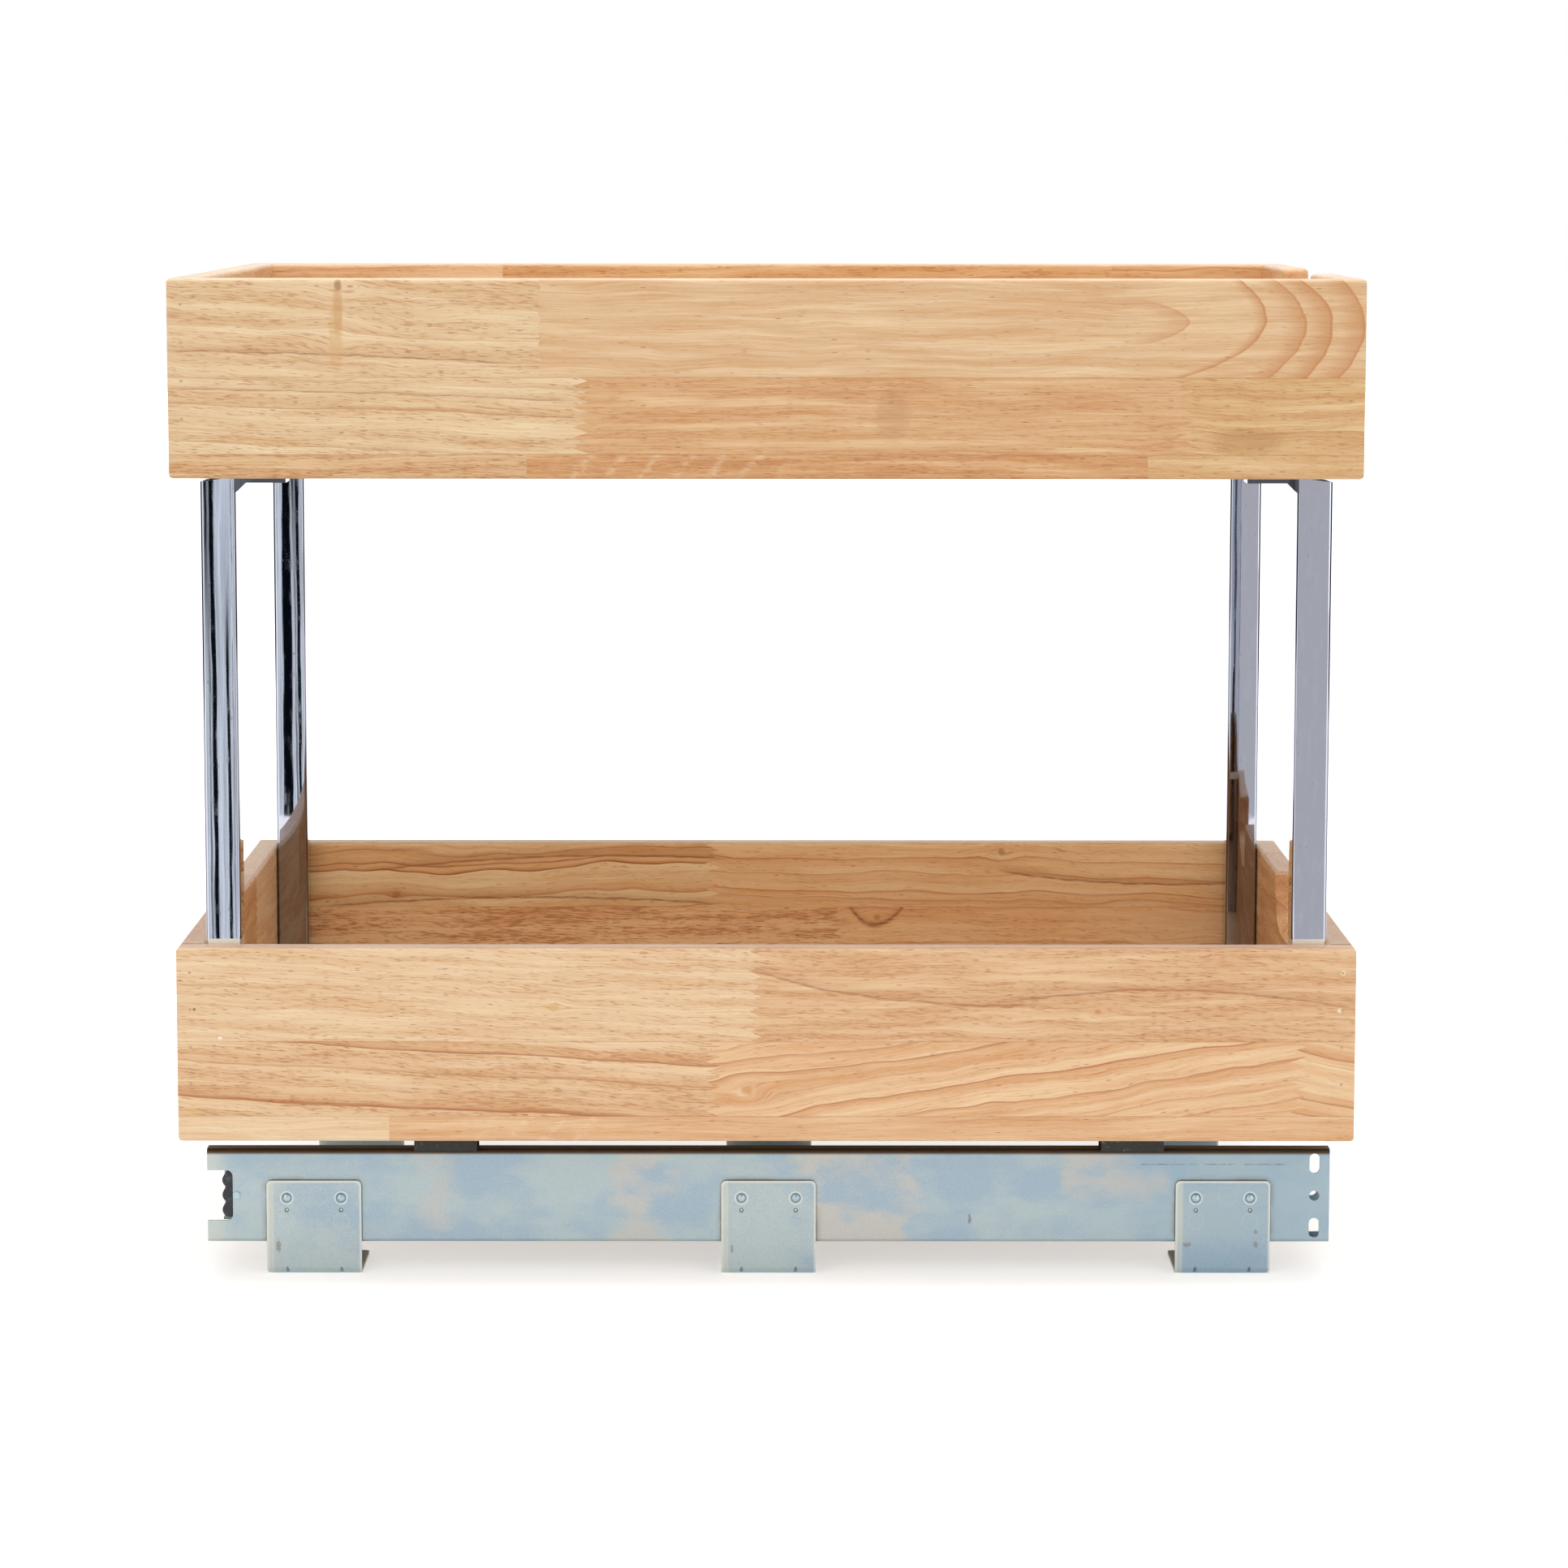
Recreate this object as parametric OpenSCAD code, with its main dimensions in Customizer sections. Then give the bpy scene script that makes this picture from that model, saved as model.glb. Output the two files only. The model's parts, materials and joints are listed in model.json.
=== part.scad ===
// Two-tier pull-out organiser for a kitchen base cabinet.
// Two open wooden boxes stand one above the other on four chromed posts. The lower box rides on
// a pair of full-extension ball-bearing slides, which stand on brackets on the cabinet floor.
// Frame: +X is the way it pulls out, +Y is the right-hand side for someone facing the cabinet,
// +Z is up. The origin is on the cabinet floor, under the middle of the boxes. Closed position.

/* [Boxes] */
// Length of each box, back to front
box_length = 533; // [500:1:600]
// Width of each box over its side walls
box_width = 361; // [300:1:500]
// Height of the box walls
wall_height = 89; // [80:1:130]
// Thickness of the wooden walls
wall_thickness = 12; // [10:0.5:16]
// Radius that softens the edges of the wood
edge_radius = 2; // [0.5:0.5:3]
// Thickness of the floor panels
floor_thickness = 9; // [8:0.5:12]
// How far the floor panels are let into the walls
floor_rabbet = 6; // [4:0.5:7]
// Clear height between the lower and the upper box
tier_gap = 211.5; // [150:0.5:300]

/* [Hand pull] */
// Width of the scoop in each front wall
scoop_width = 120; // [90:1:160]
// Depth of the scoop below the top of the wall
scoop_depth = 27; // [26:1:40]
// Radius of the scoop's lower corners
scoop_radius = 25; // [10:1:26]
// Radius where the scoop meets the top of the wall
scoop_lip = 4; // [2:0.5:6]

/* [Wall brads] */
// Diameter of the brads that pin the corners
brad_diameter = 1.2; // [1:0.1:2]
// Length of the brads
brad_length = 25; // [20:1:35]
// Spacing of the brads up a corner
brad_pitch = 17; // [12:1:20]
// Distance of the highest brad below the top of the wall
brad_drop = 11.5; // [8:0.5:14]

/* [Posts] */
// Side of the square post tube
post_side = 16; // [12:0.5:20]
// Wall of the post tube
post_wall = 1.2; // [1:0.1:2]
// Corner radius of the post tube
post_corner = 1.5; // [1.2:0.1:3]
// Reach of the screw tabs at both ends of a post
tab_length = 22.5; // [18:0.5:30]
// Thickness of the screw tabs
tab_thickness = 2.5; // [2.3:0.1:4]
// Size of the 45 degree web between tab and tube
tab_web = 4.4; // [2:0.2:5]
// Fall of the tube's cut end towards its outer side
post_fall = 2; // [0:0.5:3]

/* [Screws] */
// Diameter of the wood screws
screw_diameter = 3.5; // [3:0.1:4]
// Diameter of the wood screws' heads
screw_head = 7; // [6:0.1:8]
// How deep the wood screws go into a floor panel
screw_grip = 6.5; // [5:0.5:7]

/* [Slides] */
// Length of the closed slides
slide_length = 521; // [500:1:560]
// Height of the cabinet members
slide_height = 44; // [42:0.5:50]
// Sheet thickness of the slide members
slide_sheet = 1.2; // [1:0.1:1.3]
// Distance of a slide inwards from the box's side
slide_inset = 49; // [30:1:80]
// How far the slides stand forward of the boxes' middle
slide_forward = 1; // [-5:0.5:5]
// Height of the slides above the cabinet floor
slide_lift = 14.8; // [12:0.1:25]
// Travel of the boxes from closed to fully pulled out
travel = 500; // [400:1:500]
// Diameter of the bearing balls
ball_diameter = 4; // [3.6:0.1:4.4]
// Balls in each of a cage's two rows
ball_count = 8; // [4:1:12]
// Sheet thickness of the ball cages
cage_sheet = 0.8; // [0.6:0.1:1]
// Height of the tongue at the drawer member's front end
tongue_height = 15; // [10:0.5:18]

/* [Mounting brackets] */
// Width of a mounting bracket
bracket_width = 44; // [36:1:60]
// Height of a mounting bracket
bracket_height = 44; // [40:1:50]
// Reach of a bracket's foot over the cabinet floor
foot_reach = 44; // [36:1:60]
// Sheet thickness of the brackets and carriers
bracket_sheet = 1.5; // [1.2:0.1:2]
// Corner radius of the bracket plates
bracket_corner = 2.3; // [1:0.1:4]
// Distance between neighbouring brackets along a slide
bracket_pitch = 211; // [150:1:215]
// Spacing of the two rivets of a bracket
rivet_pitch = 25.2; // [18:0.2:30]
// Distance of the rivets below a bracket's top edge
rivet_drop = 8.1; // [6:0.1:12]
// Diameter of the rivets' shanks
rivet_diameter = 3; // [2:0.1:3.5]
// Diameter of the screw holes in the feet
foot_hole = 5; // [4:0.1:6]
// Spacing of the two screw holes in a foot
foot_hole_pitch = 25; // [18:0.5:28]

/* [Box carriers] */
// Clear height between the slides and the lower box
carrier_gap = 13.2; // [8:0.1:20]
// Width of a carrier
carrier_width = 29; // [22:1:50]
// Place of the front carriers, forward of the boxes' middle
carrier_front = 169.5; // [120:0.5:220]
// Place of the rear carriers, behind the boxes' middle
carrier_rear = 148.5; // [120:0.5:220]
// How far a carrier stands outside its slide
carrier_overhang = 4.5; // [3:0.1:8]
// Depth of the lip that turns down outside the slide
carrier_lip = 13.5; // [6:0.1:14]

/* [Hidden] */
$fn = 48;
cut = 1; // how far a cutting shape runs past the faces it opens

// Clearances
wood_gap = 0.1;   // round a floor panel's edges in its rabbets
pin_gap = 0.05;   // round a brad, screw or rivet in its hole
post_gap = 0.3;   // between a post and the walls of its corner
sheet_gap = 0.4;  // between the slide's nested sheets
ball_gap = 0.1;   // between a ball and its races
cage_gap = 0.2;   // between a ball and its cage
bumper_gap = 0.6; // between the bumper and the middle member

// Heights
slide_axis = slide_lift + slide_height / 2;
lower_base = slide_lift + slide_height + carrier_gap;
upper_base = lower_base + wall_height + tier_gap;

// Half sizes of a box, outside and inside
half_length = box_length / 2;
half_width = box_width / 2;
inner_length = half_length - wall_thickness;
inner_width = half_width - wall_thickness;

// Slides
slide_y = -half_width + slide_inset;
slide_rear = slide_forward - slide_length / 2;
slide_front = slide_forward + slide_length / 2;
ball_r = ball_diameter / 2;
cage_hole = ball_r + cage_gap;
race_r = ball_r + ball_gap;
race_depth = 0.35;

// Heights of the slide's races above its axis
cabinet_h = slide_height / 2;
outer_ball_h = cabinet_h - slide_sheet + race_depth - race_r;
middle_h = outer_ball_h - race_r + race_depth;
inner_ball_h = middle_h - slide_sheet + race_depth - race_r;
drawer_h = inner_ball_h - race_r + race_depth;

// Depths into the slide, from the outer face of the cabinet member
outer_cage_s = slide_sheet + sheet_gap;
middle_s = outer_cage_s + cage_sheet + sheet_gap;
inner_cage_s = middle_s + slide_sheet + sheet_gap;
drawer_s = inner_cage_s + cage_sheet + sheet_gap;
cage_rim = 0.5;
outer_ball_s = middle_s + 2 * cage_rim + cage_hole;
inner_ball_s = drawer_s + cage_hole;
outer_cage_end = outer_ball_s + cage_hole + cage_rim;
inner_cage_end = inner_ball_s + cage_hole + cage_rim;
cabinet_end = outer_cage_end + sheet_gap + slide_sheet;
middle_end = inner_cage_end + cage_gap;
drawer_end = middle_end + 2 * sheet_gap + slide_sheet;
race_lip = 1.8;
sheet_bend = 1.8;

// Ends of the slide's members and cages
slot_width = 4.7;
slot_height = 9.3;
slot_rise = 15.2;
slot_inset = 7;
middle_front = slide_front - slot_inset - slot_width / 2 - 1;
bumper_depth = 8.2;
bumper_inset = 6.8;
notch_depth = 11.8;
notch_height = 23.7;
notch_corner = 3;
middle_rear = slide_rear + bumper_inset + bumper_depth + bumper_gap;
drawer_rear = slide_rear + bumper_inset;
drawer_front = middle_front - cut;
tongue_front = slide_front + 1.3;
cage_margin = 7;
cage_rear = middle_rear + travel / 4 + cage_margin;
cage_front = middle_front - travel / 4 - cage_margin;

// Brackets and carriers
bracket_xs = [for (i = [-1:1]) slide_forward + i * bracket_pitch];
bracket_y = slide_y - bracket_sheet;
bend_r = 2 * bracket_sheet;
carrier_xs = [-carrier_rear, carrier_front];
carrier_y0 = slide_y - carrier_overhang;
carrier_y1 = slide_y + drawer_end + bracket_sheet;
carrier_screw_y = slide_y + drawer_end / 2;
carrier_screw_pitch = carrier_width / 2;
carrier_rivet_pitch = carrier_width / 2;
carrier_foot = slide_axis - drawer_h + 2;
carrier_rivet_head = 1;

// ---- Shared shapes ----

// Runs a (y, z) outline along X
module along_x(x0, x1) {
    translate([x0, 0, 0]) rotate([90, 0, 90]) linear_extrude(x1 - x0) children();
}

// Runs an (x, z) outline along Y
module along_y(y0, y1) {
    translate([0, y1, 0]) rotate([90, 0, 0]) linear_extrude(y1 - y0) children();
}

// Rectangle between two corners, with round corners
module rounded_rect(x0, y0, x1, y1, r) {
    translate([x0 + r, y0]) square([x1 - x0 - 2 * r, y1 - y0]);
    translate([x0, y0 + r]) square([x1 - x0, y1 - y0 - 2 * r]);
    for (x = [x0 + r, x1 - r], y = [y0 + r, y1 - r])
        translate([x, y]) circle(r);
}

// Rectangle between two corners
module rect(x0, y0, x1, y1) {
    translate([x0, y0]) square([x1 - x0, y1 - y0]);
}

// Round bar along Y, from y0 to y1
module bar_y(x, y0, y1, z, r) {
    translate([x, y1, z]) rotate([90, 0, 0]) cylinder(h = y1 - y0, r = r);
}

// Mirrors what it holds to the other side of the unit
module other_side() {
    mirror([0, 1, 0]) children();
}

// Mirrors what it holds to the other end of the unit
module other_end() {
    mirror([1, 0, 0]) children();
}

// ---- Wooden boxes ----

// The brads' places: x of both ends and z of each brad, for a box that stands at base
function brad_zs(base) = [for (i = [0:3]) base + wall_height - brad_drop - i * brad_pitch];

// Brads of one box, or the holes for them with a gap all round
module brad_set(base, gap) {
    for (sx = [-1, 1], sy = [-1, 1], z = brad_zs(base)) {
        y_out = sy * half_width;
        y_in = sy * (half_width - brad_length - gap);
        bar_y(sx * (half_length - wall_thickness / 2), min(y_out, y_in), max(y_out, y_in), z,
            brad_diameter / 2 + gap);
    }
}

module brads(base) {
    color("silver") brad_set(base, 0);
}

// Floor panel of one box, or its rabbet with a gap round its edges
module floor_slab(base, gap, drop) {
    x = inner_length + floor_rabbet + gap;
    y = inner_width + floor_rabbet + gap;
    translate([-x, -y, base - drop]) cube([2 * x, 2 * y, floor_thickness + drop]);
}

// Left side wall of a box: it covers the ends of the front and back walls
module side_wall(base) {
    color("burlywood") difference() {
        intersection() {
            along_x(-half_length, half_length)
                rounded_rect(-half_width, base, -inner_width, base + wall_height, edge_radius);
            along_y(-half_width, -inner_width)
                rounded_rect(-half_length, base, half_length, base + wall_height, edge_radius);
        }
        floor_slab(base, wood_gap, cut);
        brad_set(base, pin_gap);
    }
}

// Back wall of a box, between its side walls
module end_wall(base) {
    difference() {
        along_y(-inner_width, inner_width)
            rounded_rect(-half_length, base, -inner_length, base + wall_height, edge_radius);
        floor_slab(base, wood_gap, cut);
        brad_set(base, pin_gap);
    }
}

module back_wall(base) {
    color("burlywood") end_wall(base);
}

// Outline of the hand pull in (y, z), open at the top
module scoop_outline(base) {
    half = scoop_width / 2;
    top = base + wall_height;
    bottom = top - scoop_depth;
    rect(-half, bottom + scoop_radius, half, top + cut);
    rect(-half + scoop_radius, bottom, half - scoop_radius, top);
    for (s = [-1, 1])
        translate([s * (half - scoop_radius), bottom + scoop_radius]) circle(scoop_radius);
    difference() {
        rect(-half - scoop_lip, top - scoop_lip, half + scoop_lip, top + cut);
        for (s = [-1, 1])
            translate([s * (half + scoop_lip), top - scoop_lip]) circle(scoop_lip);
    }
}

module front_wall(base) {
    color("burlywood") difference() {
        other_end() end_wall(base);
        along_x(inner_length - cut, half_length + cut) scoop_outline(base);
    }
}

// Floor panels: each is drilled for the screws that hold it
module lower_floor_panel() {
    color("tan") difference() {
        floor_slab(lower_base, 0, 0);
        lower_post_screw_set(pin_gap);
        carrier_screw_set(pin_gap);
        other_side() carrier_screw_set(pin_gap);
    }
}

module upper_floor_panel() {
    color("tan") difference() {
        floor_slab(upper_base, 0, 0);
        upper_post_screw_set(pin_gap);
    }
}

// ---- Posts ----

post_x1 = inner_length - post_gap;
post_x0 = post_x1 - post_side;
post_y1 = inner_width - post_gap;
post_y0 = post_y1 - post_side;
post_z0 = lower_base + floor_thickness;
tab_screw_x = post_x0 - tab_length + screw_head;
tab_screw_y = (post_y0 + post_y1) / 2;

// Post in the front right corner: a square tube with a screw tab turned inwards at both ends
module post_body() {
    color("silver") difference() {
        union() {
            difference() {
                translate([0, 0, post_z0]) linear_extrude(upper_base - post_z0) difference() {
                    rounded_rect(post_x0, post_y0, post_x1, post_y1, post_corner);
                    rect(post_x0 + post_wall, post_y0 + post_wall,
                        post_x1 - post_wall, post_y1 - post_wall);
                }
                along_y(post_y0 - cut, post_y1 + cut) polygon([
                    [post_x0 + post_wall, upper_base], [post_x1, upper_base - post_fall],
                    [post_x1 + cut, upper_base - post_fall], [post_x1 + cut, upper_base + cut],
                    [post_x0 + post_wall, upper_base + cut]
                ]);
            }
            tab_outline() {
                rect(post_x0 - tab_length, 0, post_x0 + post_wall, tab_thickness);
                polygon([
                    [post_x0 + post_wall / 2, tab_thickness - post_wall / 2],
                    [post_x0 - tab_web + post_wall / 2, tab_thickness - post_wall / 2],
                    [post_x0 - tab_web, tab_thickness], [post_x0, tab_thickness + tab_web],
                    [post_x0 + post_wall / 2, tab_thickness + tab_web]
                ]);
            }
        }
        lower_tab_screw(pin_gap);
        upper_tab_screw(pin_gap);
    }
}

// Puts an outline of a tab at the lower end of the post and, upside down, at its upper end
module tab_outline() {
    along_y(post_y0, post_y1) union() {
        translate([0, post_z0]) children();
        translate([0, upper_base]) mirror([0, 1]) children();
    }
}

// ---- Screws and rivets ----

head_height = 1.9;   // countersunk head of a post screw
pan_height = 2.2;    // pan head of a carrier screw
recess_width = 0.8;  // slots of a cross recess
recess_depth = 1;

// Countersunk wood screw: its head's face is at the origin and it points up
module countersunk(length, gap) {
    cylinder(h = head_height + gap, r1 = screw_head / 2 + gap, r2 = screw_diameter / 2 + gap);
    cylinder(h = length + gap, r = screw_diameter / 2 + gap);
}

// Cross recess in a screw head whose face is at the origin
module cross_recess() {
    for (a = [0, 90])
        rotate([0, 0, a]) translate([-screw_head / 4, -recess_width / 2, -cut])
            cube([screw_head / 2, recess_width, cut + recess_depth]);
}

module upper_tab_screw(gap) {
    translate([tab_screw_x, tab_screw_y, upper_base - tab_thickness])
        countersunk(tab_thickness + screw_grip, gap);
}

module lower_tab_screw(gap) {
    translate([tab_screw_x, tab_screw_y, post_z0 + tab_thickness])
        mirror([0, 0, 1]) countersunk(tab_thickness + screw_grip, gap);
}

// Repeats what it holds in all four corners
module four_corners() {
    children();
    other_side() children();
    other_end() children();
    other_end() other_side() children();
}

module upper_post_screw_set(gap) {
    four_corners() upper_tab_screw(gap);
}

module lower_post_screw_set(gap) {
    four_corners() lower_tab_screw(gap);
}

module upper_post_screws() {
    color("gray") difference() {
        upper_post_screw_set(0);
        four_corners() translate([tab_screw_x, tab_screw_y, upper_base - tab_thickness])
            cross_recess();
    }
}

module lower_post_screws() {
    color("gray") difference() {
        lower_post_screw_set(0);
        four_corners() translate([tab_screw_x, tab_screw_y, post_z0 + tab_thickness])
            mirror([0, 0, 1]) cross_recess();
    }
}

// Screws that hold the left carriers to the lower floor, or their holes
module carrier_screw_set(gap) {
    for (x = carrier_xs, s = [-0.5, 0.5])
        translate([x + s * carrier_screw_pitch, carrier_screw_y, lower_base - bracket_sheet])
            cylinder(h = bracket_sheet + screw_grip + gap, r = screw_diameter / 2 + gap);
}

module carrier_screws() {
    color("gray") {
        carrier_screw_set(0);
        for (x = carrier_xs, s = [-0.5, 0.5])
            translate([x + s * carrier_screw_pitch, carrier_screw_y,
                lower_base - bracket_sheet - pan_height]) difference() {
                rotate_extrude() difference() {
                    rounded_rect(-screw_head / 2, 0, screw_head / 2, pan_height * 2, pan_height / 2);
                    rect(-screw_head, -cut, 0, pan_height * 3);
                    rect(-screw_head, pan_height, screw_head, pan_height * 3);
                }
                cross_recess();
            }
    }
}

// ---- Slides: left-hand one, drawn in place ----

// Runs a slide section along X. In a section, x is the depth into the slide and y is the height
// above its axis.
module slide_run(x0, x1) {
    along_x(x0, x1) translate([slide_y, slide_axis]) children();
}

// Ball grooves of a section, top and bottom
module races(s, h) {
    for (side = [-1, 1]) translate([s, side * h]) circle(race_r);
}

// Upright slot in the (x, z) plane
module slot(x, z) {
    r = slot_width / 2;
    rect(x - r, z - slot_height / 2 + r, x + r, z + slot_height / 2 - r);
    for (s = [-1, 1]) translate([x, z + s * (slot_height / 2 - r)]) circle(r);
}

bumper_pin_x = slide_rear + notch_depth + 1.7;
bumper_pin_r = 1.2;
bumper_head_height = 0.6;
bumper_lobe = 3.5;   // radius of the bumper's three lobes
join = 0.1;          // how far two solids of one piece reach into each other

module cabinet_member() {
    color("lightsteelblue") difference() {
        slide_run(slide_rear, slide_front) difference() {
            rounded_rect(0, -cabinet_h, cabinet_end, cabinet_h, sheet_bend);
            rect(slide_sheet, -cabinet_h + slide_sheet,
                cabinet_end - slide_sheet, cabinet_h - slide_sheet);
            rect(slide_sheet, -cabinet_h + slide_sheet + race_lip,
                cabinet_end + cut, cabinet_h - slide_sheet - race_lip);
            races(outer_ball_s, outer_ball_h);
        }
        along_y(slide_y - cut, slide_y + slide_sheet + cut) {
            for (s = [-1, 1]) slot(slide_front - slot_inset, slide_axis + s * slot_rise);
            rounded_rect(slide_rear - notch_depth, slide_axis - notch_height / 2,
                slide_rear + notch_depth, slide_axis + notch_height / 2, notch_corner);
        }
        bar_y(slide_front - slot_inset, slide_y - cut, slide_y + slide_sheet + cut, slide_axis,
            slot_width / 2);
        bar_y(bumper_pin_x, slide_y - cut, slide_y + slide_sheet + cut, slide_axis,
            bumper_pin_r + pin_gap);
        bracket_rivet_set(pin_gap);
    }
}

module middle_member() {
    color("lightsteelblue") slide_run(middle_rear, middle_front) difference() {
        rounded_rect(middle_s, -middle_h, middle_end, middle_h, slide_sheet / 2);
        rect(middle_s + slide_sheet, -middle_h + slide_sheet,
            middle_end + cut, middle_h - slide_sheet);
        races(outer_ball_s, outer_ball_h);
        races(inner_ball_s, inner_ball_h);
    }
}

module drawer_member() {
    color("lightsteelblue") difference() {
        union() {
            slide_run(drawer_rear, drawer_front) difference() {
                rounded_rect(drawer_s, -drawer_h, drawer_end, drawer_h, slide_sheet / 2);
                rect(drawer_s - cut, -drawer_h + slide_sheet,
                    drawer_end - slide_sheet, drawer_h - slide_sheet);
                races(inner_ball_s, inner_ball_h);
            }
            slide_run(drawer_front - cut, tongue_front)
                rect(drawer_end - slide_sheet, -tongue_height / 2, drawer_end, tongue_height / 2);
        }
        bar_y(slide_front - slot_inset, slide_y + drawer_end - slide_sheet - cut,
            slide_y + drawer_end + cut, slide_axis, slot_width / 2);
        carrier_rivet_set(pin_gap);
    }
}

// Places of a cage's balls along X
cage_length = cage_front - cage_rear;
ball_xs = [for (i = [0:ball_count - 1]) cage_rear + cage_length * (i + 0.5) / ball_count];

// Sheet cage: a channel with a row of ball holes in each flange
module cage(s0, s1, ball_s, ball_h) {
    color("gold") difference() {
        slide_run(cage_rear, cage_front) difference() {
            rect(s0, -ball_h - cage_sheet / 2, s1, ball_h + cage_sheet / 2);
            rect(s0 + cage_sheet, -ball_h + cage_sheet / 2, s1 + cut, ball_h - cage_sheet / 2);
        }
        for (x = ball_xs)
            translate([x, slide_y + ball_s, slide_axis - ball_h - cage_sheet])
                cylinder(h = 2 * ball_h + 2 * cage_sheet, r = cage_hole);
    }
}

// Both rows of balls of a cage
module balls(ball_s, ball_h) {
    color("white") for (x = ball_xs, side = [-1, 1])
        translate([x, slide_y + ball_s, slide_axis + side * ball_h]) sphere(ball_r);
}

module outer_cage() {
    cage(outer_cage_s, outer_cage_end, outer_ball_s, outer_ball_h);
}

module outer_balls() {
    balls(outer_ball_s, outer_ball_h);
}

module inner_cage() {
    cage(inner_cage_s, inner_cage_end, inner_ball_s, inner_ball_h);
}

module inner_balls() {
    balls(inner_ball_s, inner_ball_h);
}

// Soft stop behind the middle member, with three lobes
module bumper() {
    color("black") difference() {
        along_y(slide_y + slide_sheet, slide_y + cabinet_end - sheet_gap)
            translate([slide_rear + bumper_inset, slide_axis]) {
                rect(bumper_lobe, -3 * bumper_lobe, bumper_depth, 3 * bumper_lobe);
                for (i = [-1:1]) translate([bumper_lobe, i * 2 * bumper_lobe]) circle(bumper_lobe);
            }
        bar_y(bumper_pin_x, slide_y, slide_y + slide_sheet + bumper_depth / 2, slide_axis,
            bumper_pin_r + pin_gap);
    }
}

module bumper_rivet() {
    color("silver") {
        bar_y(bumper_pin_x, slide_y - bumper_head_height, slide_y, slide_axis, 1.4 * bumper_pin_r);
        bar_y(bumper_pin_x, slide_y - join, slide_y + slide_sheet + bumper_depth / 2 - pin_gap,
            slide_axis, bumper_pin_r);
    }
}

// ---- Mounting brackets ----

rivet_z = bracket_height - rivet_drop;
rivet_head_r = rivet_diameter / 2 + 0.35;
rivet_head_height = 0.6;
dish_r = rivet_diameter;
dish_depth = 0.3;
spot_r = 1.05;       // the small mark below each rivet
spot_depth = 0.4;
spot_drop = 6;
rib_depth = 1.7 * bracket_sheet;
rib_half = 1.6 * bracket_sheet;
foot_hole_y = bracket_y + foot_reach / 2 + bracket_sheet;

// Rivets between the left brackets and the slide, or their holes
module bracket_rivet_set(gap) {
    for (x = bracket_xs, s = [-0.5, 0.5])
        bar_y(x + s * rivet_pitch, bracket_y - gap, slide_y + slide_sheet, rivet_z,
            rivet_diameter / 2 + gap);
}

module bracket_rivets() {
    color("lightsteelblue") {
        bracket_rivet_set(0);
        for (x = bracket_xs, s = [-0.5, 0.5])
            bar_y(x + s * rivet_pitch, bracket_y + dish_depth - rivet_head_height,
                bracket_y + dish_depth, rivet_z, rivet_head_r);
    }
}

// One V-shaped rib pressed into the bend: the dent outside, or the back of it inside
module bend_rib(x, depth, half_base) {
    translate([x, bracket_y, 0]) rotate([-135, 0, 0]) translate([0, 0, -2 * bend_r])
        linear_extrude(4 * bend_r) polygon([[-half_base, 0], [half_base, 0], [0, -depth]]);
}

module mounting_bracket(x) {
    x0 = x - bracket_width / 2;
    x1 = x + bracket_width / 2;
    color("lightsteelblue") difference() {
        union() {
            // Upright plate and bend
            intersection() {
                along_x(x0, x1) bracket_profile();
                along_y(bracket_y - cut, bracket_y + bend_r)
                    rounded_rect(x0, 0, x1, bracket_height, bracket_corner);
            }
            // Foot
            linear_extrude(bracket_sheet) difference() {
                rounded_rect(x0, bracket_y, x1, bracket_y + foot_reach, bracket_corner);
                rect(x0 - cut, bracket_y - cut, x1 + cut, bracket_y + bend_r);
            }
            // Backs of the ribs
            intersection() {
                for (s = [-0.5, 0.5])
                    bend_rib(x + s * rivet_pitch, rib_depth + bracket_sheet,
                        rib_half + 0.6 * bracket_sheet);
                translate([x0, bracket_y + bracket_sheet / 2, bracket_sheet / 2])
                    cube([bracket_width, 2 * bend_r, 2 * bend_r]);
            }
        }
        for (s = [-0.5, 0.5]) {
            bend_rib(x + s * rivet_pitch, rib_depth, rib_half);
            // Dish round a rivet, and the small mark below it
            translate([x + s * rivet_pitch, bracket_y, rivet_z]) rotate([-90, 0, 0])
                cylinder(h = dish_depth, r1 = dish_r, r2 = rivet_head_r + 2 * pin_gap);
            bar_y(x + s * rivet_pitch, bracket_y - cut, bracket_y + spot_depth,
                rivet_z - spot_drop, spot_r);
            // Screw holes in the foot
            translate([x + s * foot_hole_pitch, foot_hole_y, -cut])
                cylinder(h = bracket_sheet + 2 * cut, r = foot_hole / 2);
        }
        bracket_rivet_set(pin_gap);
    }
}

// Section of a bracket in (y, z): upright plate, bend and the start of the foot
module bracket_profile() {
    y = bracket_y;
    rect(y, bend_r, y + bracket_sheet, bracket_height);
    rect(y + bend_r, 0, y + bend_r + cut, bracket_sheet);
    intersection() {
        rect(y, 0, y + bend_r, bend_r);
        translate([y + bend_r, bend_r]) difference() {
            circle(bend_r);
            circle(bend_r - bracket_sheet);
        }
    }
}

// ---- Carriers between the slides and the lower box ----

module carrier(x) {
    top = lower_base;
    color("slategray") difference() {
        along_x(x - carrier_width / 2, x + carrier_width / 2) difference() {
            rounded_rect(carrier_y0, carrier_foot, carrier_y1, top, bend_r);
            rounded_rect(carrier_y0 + bracket_sheet, carrier_foot - 2 * bend_r,
                carrier_y1 - bracket_sheet, top - bracket_sheet, bend_r - bracket_sheet);
            rect(carrier_y0 - cut, carrier_foot - cut, slide_y + drawer_end / 2, top - carrier_lip);
            rect(carrier_y0, carrier_foot - cut, carrier_y1 + cut, carrier_foot + bend_r);
        }
        carrier_screw_set(pin_gap);
        carrier_rivet_set(pin_gap);
    }
}

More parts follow.
